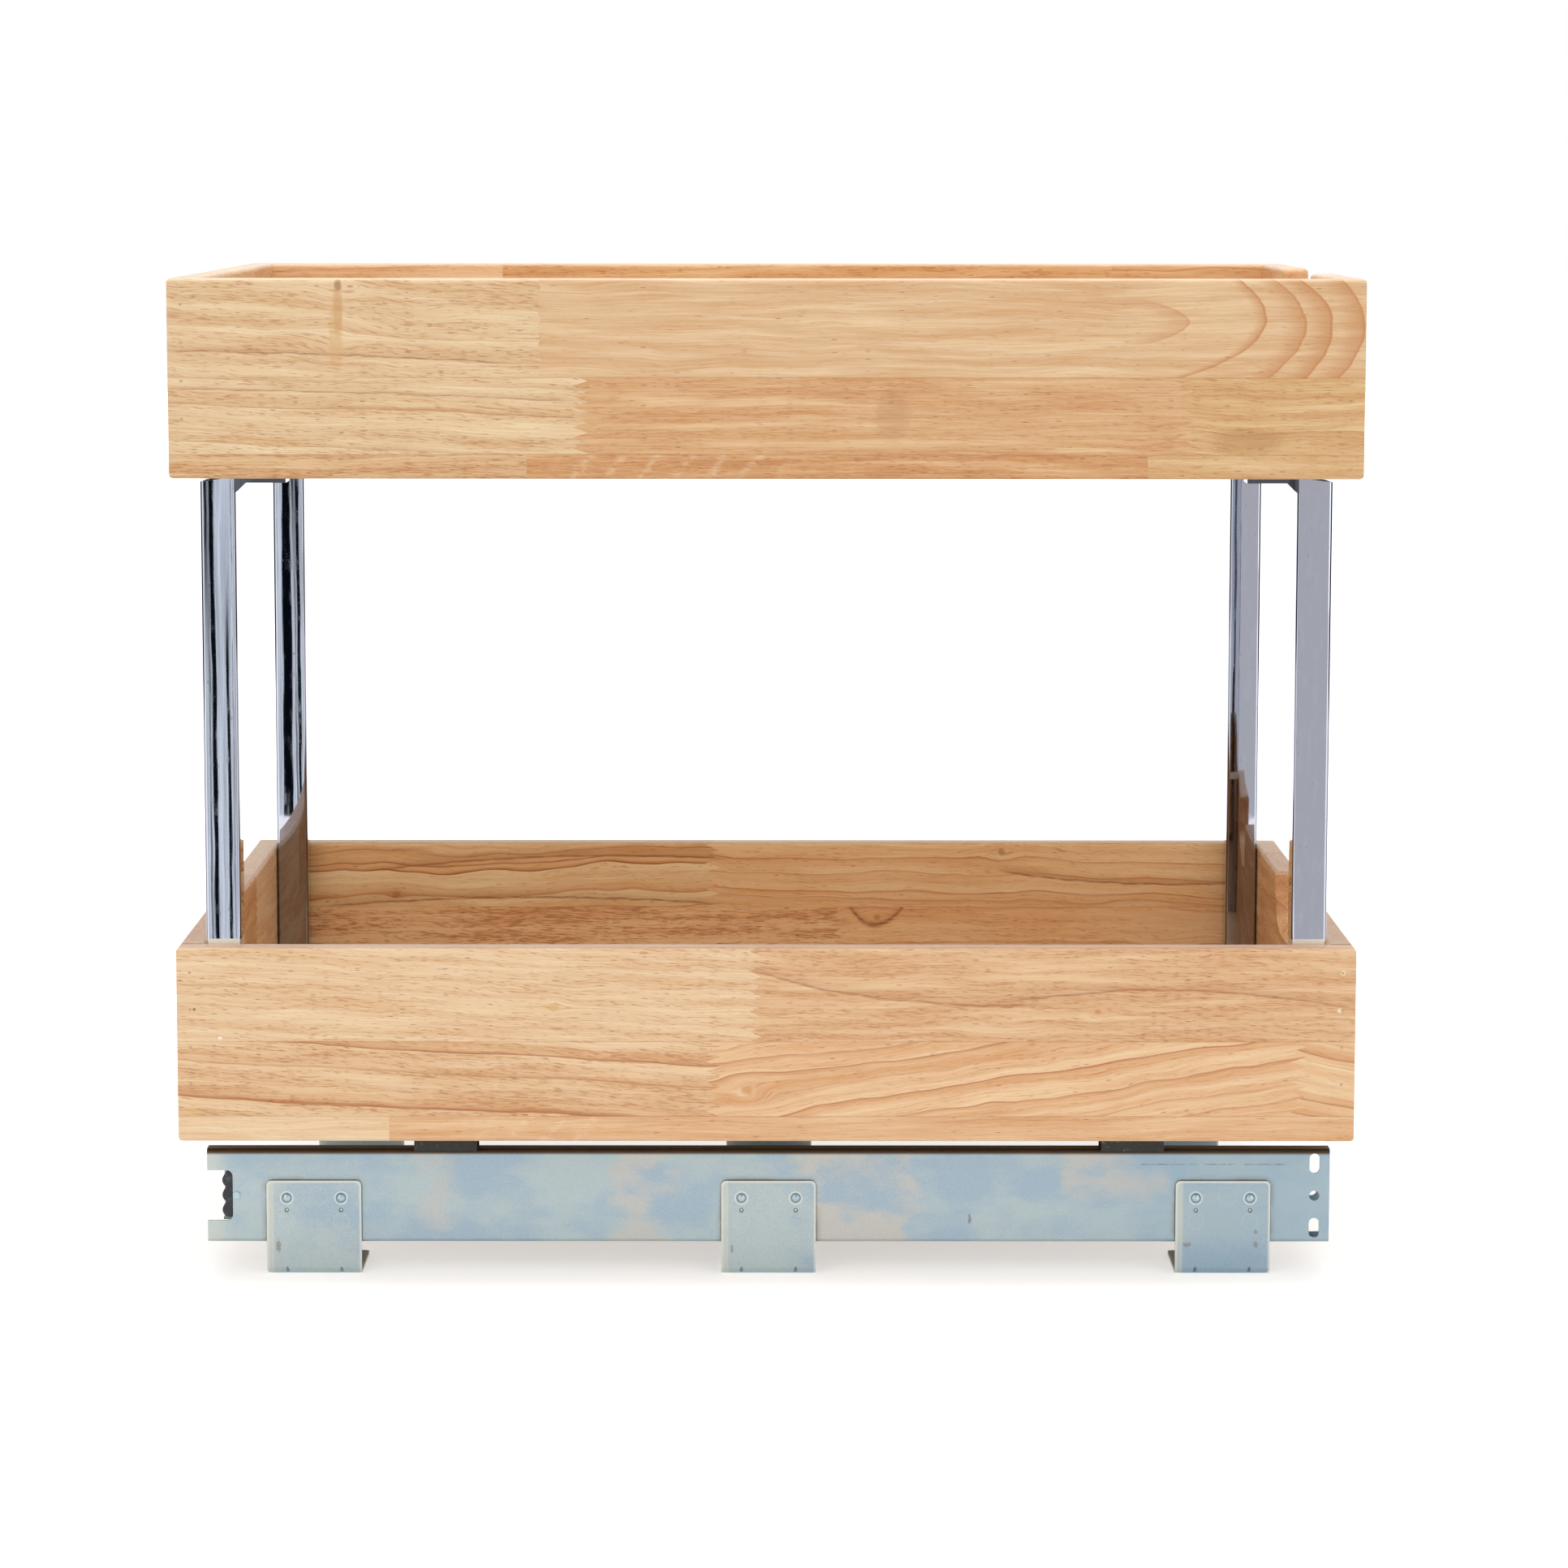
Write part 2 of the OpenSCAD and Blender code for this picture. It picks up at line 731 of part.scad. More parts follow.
// Rivets between the left carriers and the drawer member, or their holes
module carrier_rivet_set(gap) {
    for (x = carrier_xs, s = [-0.5, 0.5])
        bar_y(x + s * carrier_rivet_pitch, slide_y + drawer_end - slide_sheet,
            slide_y + drawer_end + bracket_sheet, slide_axis, rivet_diameter / 2 + gap);
}

module carrier_rivets() {
    color("lightsteelblue") {
        carrier_rivet_set(0);
        for (x = carrier_xs, s = [-0.5, 0.5])
            bar_y(x + s * carrier_rivet_pitch, carrier_y1, carrier_y1 + carrier_rivet_head,
                slide_axis, rivet_diameter);
    }
}

// ---- Assembly ----

side_wall(lower_base);  // lower_left_side
other_side() side_wall(lower_base);  // lower_right_side
front_wall(lower_base);  // lower_front
back_wall(lower_base);  // lower_back
lower_floor_panel();  // lower_floor
brads(lower_base);  // lower_brads

side_wall(upper_base);  // upper_left_side
other_side() side_wall(upper_base);  // upper_right_side
front_wall(upper_base);  // upper_front
back_wall(upper_base);  // upper_back
upper_floor_panel();  // upper_floor
brads(upper_base);  // upper_brads

other_side() post_body();  // post_front_left
post_body();  // post_front_right
other_end() other_side() post_body();  // post_rear_left
other_end() post_body();  // post_rear_right
lower_post_screws();
upper_post_screws();

cabinet_member();  // left_cabinet_member
other_side() cabinet_member();  // right_cabinet_member
middle_member();  // left_middle_member
other_side() middle_member();  // right_middle_member
drawer_member();  // left_drawer_member
other_side() drawer_member();  // right_drawer_member
outer_cage();  // left_outer_cage
other_side() outer_cage();  // right_outer_cage
outer_balls();  // left_outer_balls
other_side() outer_balls();  // right_outer_balls
inner_cage();  // left_inner_cage
other_side() inner_cage();  // right_inner_cage
inner_balls();  // left_inner_balls
other_side() inner_balls();  // right_inner_balls
bumper();  // left_bumper
other_side() bumper();  // right_bumper
bumper_rivet();  // left_bumper_rivet
other_side() bumper_rivet();  // right_bumper_rivet

mounting_bracket(bracket_xs[2]);  // left_front_bracket
mounting_bracket(bracket_xs[1]);  // left_mid_bracket
mounting_bracket(bracket_xs[0]);  // left_rear_bracket
other_side() mounting_bracket(bracket_xs[2]);  // right_front_bracket
other_side() mounting_bracket(bracket_xs[1]);  // right_mid_bracket
other_side() mounting_bracket(bracket_xs[0]);  // right_rear_bracket
bracket_rivets();  // left_bracket_rivets
other_side() bracket_rivets();  // right_bracket_rivets

carrier(carrier_front);  // left_front_carrier
carrier(-carrier_rear);  // left_rear_carrier
other_side() carrier(carrier_front);  // right_front_carrier
other_side() carrier(-carrier_rear);  // right_rear_carrier
carrier_rivets();  // left_carrier_rivets
other_side() carrier_rivets();  // right_carrier_rivets
carrier_screws();  // left_carrier_screws
other_side() carrier_screws();  // right_carrier_screws
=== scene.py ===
"""Looks of a two-tier pull-out organiser: wooden boxes, chromed posts between them, zinc-plated slides.

Places and sizes are in millimetres, in the part's own frame, until MM turns them into metres. Colours
of wood, filler, rubber and black steel are written as they look on a screen, from 0 to 255, and go
through seen(). Those of bright metals and of the stage are linear values, where 1 is white.
"""

import json
import math
import random
from typing import NamedTuple

import bmesh
import bpy
from mathutils import Matrix, Vector


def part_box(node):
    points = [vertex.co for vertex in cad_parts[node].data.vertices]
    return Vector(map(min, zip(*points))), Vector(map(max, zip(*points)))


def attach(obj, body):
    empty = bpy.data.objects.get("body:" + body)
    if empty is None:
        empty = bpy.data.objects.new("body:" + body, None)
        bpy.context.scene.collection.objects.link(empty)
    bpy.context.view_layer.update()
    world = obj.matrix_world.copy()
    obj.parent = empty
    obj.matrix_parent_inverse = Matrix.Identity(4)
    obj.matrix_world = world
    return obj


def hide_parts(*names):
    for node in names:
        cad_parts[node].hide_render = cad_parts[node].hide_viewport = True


MM = 0.001

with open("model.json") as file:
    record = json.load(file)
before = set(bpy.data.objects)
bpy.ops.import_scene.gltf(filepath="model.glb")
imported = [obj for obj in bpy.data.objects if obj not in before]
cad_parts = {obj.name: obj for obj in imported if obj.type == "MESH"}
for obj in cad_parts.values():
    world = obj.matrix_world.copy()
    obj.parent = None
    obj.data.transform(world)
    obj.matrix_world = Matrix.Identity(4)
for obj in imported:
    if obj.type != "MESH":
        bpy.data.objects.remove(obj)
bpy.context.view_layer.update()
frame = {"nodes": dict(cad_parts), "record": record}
nodes = frame["nodes"]
record = frame["record"]
body_of = {node: body for body, members in record["behaviour"]["bodies"].items() for node in members}
slot_of = {piece["node"]: piece["material_slot"] for piece in record["subparts"]}


def corners(node):
    """Lowest and highest corner of a CAD node."""
    return [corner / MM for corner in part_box(node)]


def middle(node):
    """Centre of a CAD node's box."""
    low, high = corners(node)
    return (low + high) / 2


# ---- How materials are written ----


def seen(red, green, blue):
    """A colour as it looks on a screen, in the linear values that a shader takes."""
    shares = [channel / 255 for channel in (red, green, blue)]
    return tuple(s / 12.92 if s <= 0.04045 else ((s + 0.055) / 1.055) ** 2.4 for s in shares)


class Field:
    """What a shader node gives. Arithmetic on a number adds Math nodes."""

    def __init__(self, paint, socket):
        self.paint, self.socket = paint, socket

    def math(self, operation, *terms):
        return self.paint.node("ShaderNodeMath", {"operation": operation}, terms)

    def out(self, name):
        """Another output of the same node."""
        return Field(self.paint, self.socket.node.outputs[name])

    def __add__(self, other):
        return self.math("ADD", self, other)

    def __radd__(self, other):
        return self.math("ADD", other, self)

    def __sub__(self, other):
        return self.math("SUBTRACT", self, other)

    def __rsub__(self, other):
        return self.math("SUBTRACT", other, self)

    def __mul__(self, other):
        return self.math("MULTIPLY", self, other)

    def __rmul__(self, other):
        return self.math("MULTIPLY", other, self)

    def __truediv__(self, other):
        return self.math("DIVIDE", self, other)

    def __pow__(self, other):
        return self.math("POWER", self, other)

    def __gt__(self, other):
        return self.math("GREATER_THAN", self, other)

    def __lt__(self, other):
        return self.math("LESS_THAN", self, other)

    def __abs__(self):
        return self.math("ABSOLUTE", self)

    def floor(self):
        return self.math("FLOOR", self)

    def fract(self):
        return self.math("FRACT", self)

    def exponent(self):
        return self.math("EXPONENT", self)

    def at_least(self, low):
        return self.math("MAXIMUM", self, low)

    def to_and_fro(self, pitch):
        """Rises and falls from 0 to 1, once in each double pitch."""
        return self.math("PINGPONG", self / pitch, 1.0)


class Paint:
    """A material, or the world, while it is made."""

    def __init__(self, name, library="materials"):
        self.target = getattr(bpy.data, library).new(name)
        self.target.use_nodes = True
        self.tree = self.target.node_tree
        self.tree.nodes.clear()

    def node(self, kind, settings=None, inputs=(), output=0):
        """Adds a node: its settings first, then the values or links of its sockets, in order or by name."""
        made = self.tree.nodes.new(kind)
        for name, setting in (settings or {}).items():
            if name == "stops":
                self.set_stops(made.color_ramp, setting)
            else:
                setattr(made, name, setting)
        for key, term in inputs.items() if isinstance(inputs, dict) else enumerate(inputs):
            socket = made.inputs[key]
            if isinstance(term, Field):
                self.tree.links.new(term.socket, socket)
            elif socket.type == "RGBA":
                socket.default_value = (*term, 1)
            else:
                socket.default_value = term
        return Field(self, made.outputs[output])

    @staticmethod
    def set_stops(ramp, stops):
        """Fills a ramp with (position, four channels). Each stop holds up to the next one."""
        ramp.interpolation = "CONSTANT"
        while len(ramp.elements) < len(stops):
            ramp.elements.new(1)
        for element, (position, channels) in zip(ramp.elements, stops):
            element.position = position
            element.color = channels

    def place(self):
        """x, y and z of the shaded point."""
        metres = self.node("ShaderNodeTexCoord", output="Object")
        inputs = {"Vector": metres, "Scale": 1 / MM}
        scaled = self.node("ShaderNodeVectorMath", {"operation": "SCALE"}, inputs)
        x = self.node("ShaderNodeSeparateXYZ", inputs=[scaled])
        return x, x.out("Y"), x.out("Z")

    def facing(self):
        """x, y and z of the direction that the surface faces."""
        x = self.node("ShaderNodeSeparateXYZ", inputs=[self.node("ShaderNodeTexCoord", output="Normal")])
        return x, x.out("Y"), x.out("Z")

    def noise(self, x, y, z, detail=2.0, roughness=0.5):
        """Soft noise from 0 to 1, one grain of it for each unit of the coordinates."""
        where = self.node("ShaderNodeCombineXYZ", inputs=[x, y, z])
        sockets = {"Vector": where, "Scale": 1, "Detail": detail, "Roughness": roughness}
        return self.node("ShaderNodeTexNoise", inputs=sockets)

    def cells(self, x, y, z):
        """Distance to the nearest of scattered points, one for each unit of the coordinates."""
        where = self.node("ShaderNodeCombineXYZ", inputs=[x, y, z])
        return self.node("ShaderNodeTexVoronoi", inputs={"Vector": where, "Scale": 1})

    def chance(self, x, y=0.0, z=0.0):
        """A random number from 0 to 1 for each value of the coordinates."""
        where = self.node("ShaderNodeCombineXYZ", inputs=[x, y, z])
        return self.node("ShaderNodeTexWhiteNoise", inputs=[where])

    def mix(self, share, low, high, blend="MIX"):
        """Blends two colours."""
        settings = {"data_type": "RGBA", "blend_type": blend}
        return self.node("ShaderNodeMix", settings, {0: share, 6: low, 7: high}, output=2)

    def ease(self, value, low, high):
        """0 below low, 1 above high, and an even curve in between. Low may be the larger one."""
        settings = {"interpolation_type": "SMOOTHSTEP"}
        if low > high:
            return 1 - self.node("ShaderNodeMapRange", settings, [value, high, low])
        return self.node("ShaderNodeMapRange", settings, [value, low, high])

    def band(self, value, low, high, edge):
        """1 between low and high, with soft edges."""
        return self.ease(value, low - edge, low + edge) * self.ease(value, high + edge, high - edge)

    def finish(self, colour, roughness, height, lift, **sockets):
        """Joins the shader up and gives the material back.

        Height is in millimetres, and lift scales its bump. Other sockets are named in small letters.
        """
        bump = self.node("ShaderNodeBump", inputs={"Strength": lift, "Distance": MM, "Height": height})
        values = {"Base Color": colour, "Roughness": roughness, "Normal": bump}
        for name, value in sockets.items():
            values[name.replace("_", " ").title().replace("Ior", "IOR")] = value
        return self.close(self.node("ShaderNodeBsdfPrincipled", inputs=values))

    def close(self, shader, kind="ShaderNodeOutputMaterial"):
        """Joins a shader to the output, and gives the material or the world back."""
        output = self.tree.nodes.new(kind)
        self.tree.links.new(shader.socket, output.inputs[0])
        return self.target


# ---- Wood ----


class Stave(NamedTuple):
    """One stick of a glued-up wall. Heights count from the wall's lower edge, lengths along the wall."""

    tone: tuple  # its ground colour
    figure: float = 0.5  # strength of the growth rings
    pith_height: float = -20.0  # where the log's middle runs
    pith_depth: float = 30.0
    taper_from: float = 0.0  # from here on the log's middle sinks away from the face
    taper: float = 0.0
    slope: float = 0.0  # rise of the grain along the wall
    wave: float = 5.0  # how far the grain wanders up and down
    pores: float = 0.4  # how many dark pores show
    seed: float = 0.0


# What each channel of the ramps spans, four channels to a ramp
STAVE_CHANNELS = [
    {"red": (0, 1), "green": (0, 1), "blue": (0, 1), "figure": (0, 2)},
    {"pith_height": (-200, 300), "pith_depth": (0, 100), "taper_from": (-300, 300), "taper": (-0.5, 0.5)},
    {"slope": (-0.2, 0.2), "wave": (0, 30), "pores": (0, 1), "seed": (0, 100)},
]


class Row(NamedTuple):
    """One course of staves: its top, the depth of its finger joints, and (end, stave) from left to right."""

    top: float
    fingers: float
    staves: list


class Spot(NamedTuple):
    """A knot, smudge or plugged hole in a wall."""

    u: float
    v: float
    reach_u: float
    reach_v: float
    tone: tuple
    strength: float = 0.8
    bend: float = 0.0  # how far from it the grain still swerves


class Arc(NamedTuple):
    """A growth ring cut at a flat angle: crisp outside, soft inside, its tip pointing along the wall."""

    tip_u: float
    tip_v: float
    above: float  # how fast its upper arm falls back
    below: float
    soft: float = 4.0
    strength: float = 0.5
    reach: float = 45.0
    way: float = 1.0  # -1 when its tip points to the left


class Vein(NamedTuple):
    """A dark line that sags or rises along the wall between two places."""

    tip_u: float
    tip_v: float
    curve: float
    start: float
    end: float
    width: float = 0.5
    soft: float = 0.0
    strength: float = 0.55
    top: float = 999.0  # it stops at this height, as at a joint


HALF_RUN = 270.0  # beyond both ends of every wall
RING_PITCH = 4.6
TOOTH_PITCH = 4.6
STROKE_TONE = seen(184, 120, 70)
PORE_TONE = seen(148, 94, 56)
RING_TONE = seen(196, 138, 86)
ARC_TONE = seen(196, 132, 78)
VEIN_TONE = seen(166, 104, 58)
FLECK_TONE = seen(246, 220, 184)


def stave_channels(stave):
    """A stave's values by name, with its colour in linear shares."""
    values = stave._asdict()
    values["red"], values["green"], values["blue"] = seen(*stave.tone)
    return values


def row_number(v, rows):
    """Number of the row that a height lies in, counted from the lowest."""
    return sum((v > row.top for row in rows[:-1]), 0.0)


def stave_fields(paint, u, row, rows):
    """The values of the stave that a point is in.

    The staves are numbered along the lowest row, then along the next, and the ramps have a stop for each.
    """
    along = u + row * 2 * HALF_RUN
    staves = [(2 * HALF_RUN * n + end, stave) for n, each in enumerate(rows) for end, stave in each.staves]
    number = sum((along > end for end, _ in staves[:-1]), 0.5)
    fields = {}
    for spans in STAVE_CHANNELS:
        coded = []
        for count, (_, stave) in enumerate(staves):
            values = stave_channels(stave)
            shares = [(values[n] - low) / (high - low) for n, (low, high) in spans.items()]
            coded.append((count / len(staves), shares))
        ramp = paint.node("ShaderNodeValToRGB", {"stops": coded}, [number / len(staves)])
        red = paint.node("ShaderNodeSeparateColor", inputs=[ramp])
        outputs = [red, red.out("Green"), red.out("Blue"), ramp.out("Alpha")]
        for output, (name, (low, high)) in zip(outputs, spans.items()):
            fields[name] = output if (low, high) == (0, 1) else output * (high - low) + low
        if "red" in spans:
            fields["tone"] = ramp
    return fields


def growth_rings(paint, u, level, depth, stave):
    """Late wood of the rings round the log's middle, and a random number for each ring."""
    run = ((u - stave["taper_from"]) * stave["taper"]).at_least(0)
    rise = level - stave["pith_height"]
    sink = depth + stave["pith_depth"] + run
    radius = (rise * rise + sink * sink) ** 0.5
    widths = paint.noise(radius / 13, stave["seed"], 0.0, detail=1) * 3.4
    phase = radius / RING_PITCH + widths + stave["seed"]
    ring = phase.floor()
    part = phase - ring
    luck = paint.chance(ring, stave["seed"])
    line = part**6 * paint.ease(part, 1.0, 0.95)
    return line * (0.12 + 0.88 * luck * luck), luck


def swerve(paint, u, v, spots):
    """How far the grain gives way to knots."""
    push = 0.0
    for spot in spots:
        if spot.bend > 0:
            across_u = (u - spot.u) / (spot.bend * 1.6)
            across_v = (v - spot.v) / spot.bend
            near = (0 - across_u * across_u - across_v * across_v).exponent()
            push = near * across_v * (spot.bend * -0.85) + push
    return push


def arc_share(paint, u, v, arc):
    """How dark an arc makes a point."""
    rise = v - arc.tip_v
    fall = (v > arc.tip_v) * (arc.above - arc.below) + arc.below
    wobble = paint.noise(v / 12, arc.tip_u, u / 60, detail=3, roughness=0.5) * 5 - 2.5
    inside = (arc.tip_u - rise * rise * fall * arc.way + wobble - u) * arc.way
    crisp = paint.ease(inside, -0.3, 0.5)
    line = paint.ease(inside, 1.9, 0.5)
    shade = paint.ease(inside, arc.soft, 0.0)
    return crisp * (line * 0.3 + shade * 0.7) * paint.ease(abs(rise), arc.reach, arc.reach * 0.6)


def vein_share(paint, u, v, vein):
    """How dark a vein makes a point: a broken line, and a soft shade above it."""
    wobble = paint.noise(u / 16, vein.tip_v, 0.0, detail=2) * 2.4 - 1.2
    away = v - vein.tip_v - (u - vein.tip_u) ** 2 * vein.curve + wobble
    broken = paint.ease(paint.noise(u / 7, v, 0.0), 0.35, 0.6)
    line = paint.ease(abs(away), vein.width, 0.1) * (0.45 + 0.55 * broken)
    if vein.soft:
        line = line + paint.ease(away, vein.soft, 0.0) * (away > 0) * 0.4
    return line * paint.band(u, vein.start, vein.end, 10) * (v < vein.top)


def spot_share(paint, u, v, spot):
    """1 in the middle of a spot, 0 at its edge."""
    ragged = paint.noise(u / 1.7, v / 1.2, spot.u) * 0.9 - 0.45
    across = ((u - spot.u) / spot.reach_u) ** 2 + ((v - spot.v) / spot.reach_v) ** 2
    return paint.ease(across + ragged, 1.1, 0.2)


def ray_fleck_share(paint, u, v, start, end):
    """Pale, slanting flecks, where the cut runs along the wood's rays."""
    slant = (u - v * 0.8 + paint.noise(u / 14, v / 14, 0.0) * 8) / 15
    broken = paint.ease(paint.noise(u / 5, v / 2.5, 4.0), 0.35, 0.6)
    fleck = paint.ease(abs(slant.fract() - 0.5), 0.24, 0.0) * broken
    return fleck * paint.band(u, start, end, 8)


def finger_shift(v, row, rows):
    """How far the teeth of the finger joints move the ends of the staves at a height."""
    teeth = abs((v / TOOTH_PITCH).fract() - 0.5) * 4 - 1
    depths = [each.fingers for each in rows]
    steps = [(row > n - 0.5) * (depths[n] - depths[n - 1]) for n in range(1, len(rows))]
    return teeth * sum(steps, depths[0])


def grain(paint, u, level, w, stave):
    """Soft bands, fine fibres, streaks, short strokes that gather in the bands, and a few dark open pores."""
    seed = stave["seed"]
    band = paint.noise(u / 80, level / 4.5, w / 9 + seed, detail=2)
    fibre = paint.noise(u / 22, level / 0.42, w / 0.8 + seed, detail=3, roughness=0.65)
    crowd = stave["pores"] * paint.ease(band, 0.3, 0.65)
    streak = paint.noise(u / 6.5, (level + u * 0.04) / 0.55, w / 0.7 - seed, detail=2)
    stroke = paint.ease(streak + crowd * 0.17, 0.63, 0.71)
    pore = paint.cells(u / 5, level / 0.55, w / 0.6 + seed)
    pore_luck = paint.node("ShaderNodeSeparateColor", inputs=[pore.out("Color")])
    dash = paint.ease(pore, 0.38, 0.15) * (pore_luck < crowd * 0.30) * (0.4 + 0.6 * pore_luck.out("Green"))
    return band, fibre, streak, stroke, dash


def ground_tone(paint, stave, band, fibre, late, luck):
    """A stave's colour with its bands, growth rings and fibres."""
    tone = paint.mix(paint.ease(band, 0.35, 0.75) * 0.45, stave["tone"], seen(232, 194, 148), "MULTIPLY")
    tone = paint.mix(paint.ease(band, 0.5, 0.25) * 0.30, tone, seen(252, 226, 182))
    tone = paint.mix(luck * stave["figure"] * 0.35, tone, seen(228, 188, 142), "MULTIPLY")
    tone = paint.mix(late * stave["figure"], tone, RING_TONE, "MULTIPLY")
    tone = paint.mix(paint.ease(fibre, 0.42, 0.75) * 0.34, tone, seen(220, 176, 128), "MULTIPLY")
    return paint.mix(paint.ease(fibre, 0.5, 0.25) * 0.24, tone, seen(255, 238, 206))


def edge_tone(paint, tone, rim_sheen_tone, v, w, ends, rows, seed):
    """Adds a painted sheen along the top rim, the glue lines between the rows, and the end grain."""
    rim = paint.ease(v, WALL_HEIGHT - 0.9, WALL_HEIGHT - 0.2)
    tone = paint.mix(rim * 0.45, tone, rim_sheen_tone)
    for each in rows[:-1]:
        glue = paint.ease(abs(v - each.top), 0.3, 0.1)
        tone = paint.mix(glue * 0.3, tone, seen(178, 128, 84), "MULTIPLY")
    pits = paint.noise(v / 0.5, w / 0.5, seed, detail=1)
    end_tone = paint.mix(pits * 0.5, seen(226, 184, 140), seen(176, 126, 84))
    return paint.mix(paint.ease(ends, 0.6, 0.8) * 0.6, tone, end_tone, "MULTIPLY")


def wood(name, base, end_wall, rows, spots=(), arcs=(), veins=(), flecks=None):
    """A wall of finger-jointed staves. It runs along X, or along Y for an end wall, and stands at base.

    Flecks are drawn in its lowest row, from one place along the wall to another.
    """
    paint = Paint(name)
    x, y, z = paint.place()
    facing_x, facing_y, _ = paint.facing()
    u, w = (y, x) if end_wall else (x, y)
    face = END_FACE if end_wall else SIDE_FACE
    v = z - base
    row = row_number(v, rows)
    stave = stave_fields(paint, u + finger_shift(v, row, rows), row, rows)
    seed = stave["seed"]

    # The grain's own height: it slopes, wanders, and swerves round the knots
    wander = paint.noise(u / 62, v / 26, w / 30 + seed, detail=2) - 0.5
    level = v - stave["slope"] * (u - stave["taper_from"]) + wander * stave["wave"]
    level = level + swerve(paint, u, v, spots)
    late, luck = growth_rings(paint, u, level, abs(w) - face, stave)
    band, fibre, streak, stroke, dash = grain(paint, u, level, w, stave)

    tone = ground_tone(paint, stave, band, fibre, late, luck)
    tone = paint.mix(stroke * (0.3 + 0.4 * stave["pores"]), tone, STROKE_TONE)
    tone = paint.mix(dash, tone, PORE_TONE)
    for arc in arcs:
        share = arc_share(paint, u, v, arc) * (row > len(rows) - 1.5)
        tone = paint.mix(share * arc.strength * (0.75 + 0.5 * streak), tone, ARC_TONE)
    for vein in veins:
        tone = paint.mix(vein_share(paint, u, v, vein) * vein.strength, tone, VEIN_TONE)
    for spot in spots:
        tone = paint.mix(spot_share(paint, u, v, spot) * spot.strength, tone, seen(*spot.tone))
    if flecks:
        share = ray_fleck_share(paint, u, v, *flecks) * (v < rows[0].top)
        tone = paint.mix(share * 0.30, tone, FLECK_TONE)

    # Painted sheen along the top rims: pale on the upper box and greyed on the lower one
    rim_sheen_tone = seen(255, 240, 216) if base == UPPER_BASE else seen(196, 168, 150)
    ends = abs(facing_y if end_wall else facing_x)
    tone = edge_tone(paint, tone, rim_sheen_tone, v, w, ends, rows, seed)

    rough = 0.40 + 0.10 * fibre + 0.12 * dash
    relief = fibre * 0.12 - dash * 0.06 - late * 0.05
    return paint.finish(
        tone, rough, relief, lift=0.25, coat_weight=0.18, coat_roughness=0.22, specular_ior_level=0.35
    )


UPPER_BASE = corners("upper_left_side")[0].z
LOWER_BASE = corners("lower_left_side")[0].z
WALL_HEIGHT = corners("lower_left_side")[1].z - LOWER_BASE
SIDE_FACE = corners("upper_right_side")[0].y  # inner faces of the long walls, from the middle
END_FACE = corners("upper_front")[0].x  # and of the end walls


def upper_near_wall():
    """The upper wall that faces the viewer: a plain middle, and nested rings at its right end."""
    rows = [
        Row(10.9, 0.0, [
            (-107, Stave((222, 185, 138), 0.4, -80, 20, -300, 0.0, 0.01, 4, 0.9, 11)),
            (170, Stave((214, 163, 110), 0.5, 160, 22, -100, 0.0, 0.0, 5, 0.8, 23)),
            (HALF_RUN, Stave((221, 184, 133), 0.3, -90, 30, 0, 0.0, 0.0, 4, 0.4, 31)),
        ]),
        Row(45.2, 3.5, [
            (-83, Stave((233, 209, 169), 0.9, 120, 60, -300, 0.0, -0.035, 5, 0.6, 42)),
            (186, Stave((220, 177, 128), 0.3, -120, 26, 40, 0.0, 0.0, 4, 0.5, 55)),
            (HALF_RUN, Stave((220, 183, 130), 0.6, -60, 32, 180, 0.0, -0.01, 9, 0.5, 61)),
        ]),
        Row(90, 0.8, [
            (-101, Stave((229, 201, 160), 0.3, 190, 40, -300, 0.0, -0.05, 9, 0.6, 73)),
            (HALF_RUN, Stave((225, 190, 147), 0.15, 200, 60, 120, 0.0, 0.0, 7, 0.15, 80)),
        ]),
    ]
    spots = [
        Spot(-190.4, 86, 2.0, 3.0, (138, 92, 58), 0.65, 8.0),
        Spot(-190.4, 76, 2.4, 15, (192, 136, 82), 0.45),
        Spot(-191.6, 64, 3.6, 21, (212, 162, 100), 0.40, 9.0),
        Spot(56, 29, 9, 15, (186, 132, 88), 0.34),
        Spot(214, 17, 20, 7, (178, 128, 76), 0.45),
    ]
    arcs = [
        Arc(187.5, 70, 0.20, 0.20, 18, 0.6, 12),
        Arc(222.6, 70.5, 0.036, 0.060, 7, 0.9),
        Arc(240, 69, 0.035, 0.029, 12, 0.85),
        Arc(252, 69, 0.038, 0.021, 13, 0.95),
        Arc(266, 70, 0.030, 0.0175, 13, 0.9),
    ]
    veins = [
        Vein(-300, 57, -0.00016, -266, -120, 0.6, 4, 0.65),
        Vein(-300, 40, -0.00012, -266, -90, 0.5, 4, 0.5),
    ]
    return wood("upper near wall wood", UPPER_BASE, False, rows, spots, arcs, veins, (-92, 8))


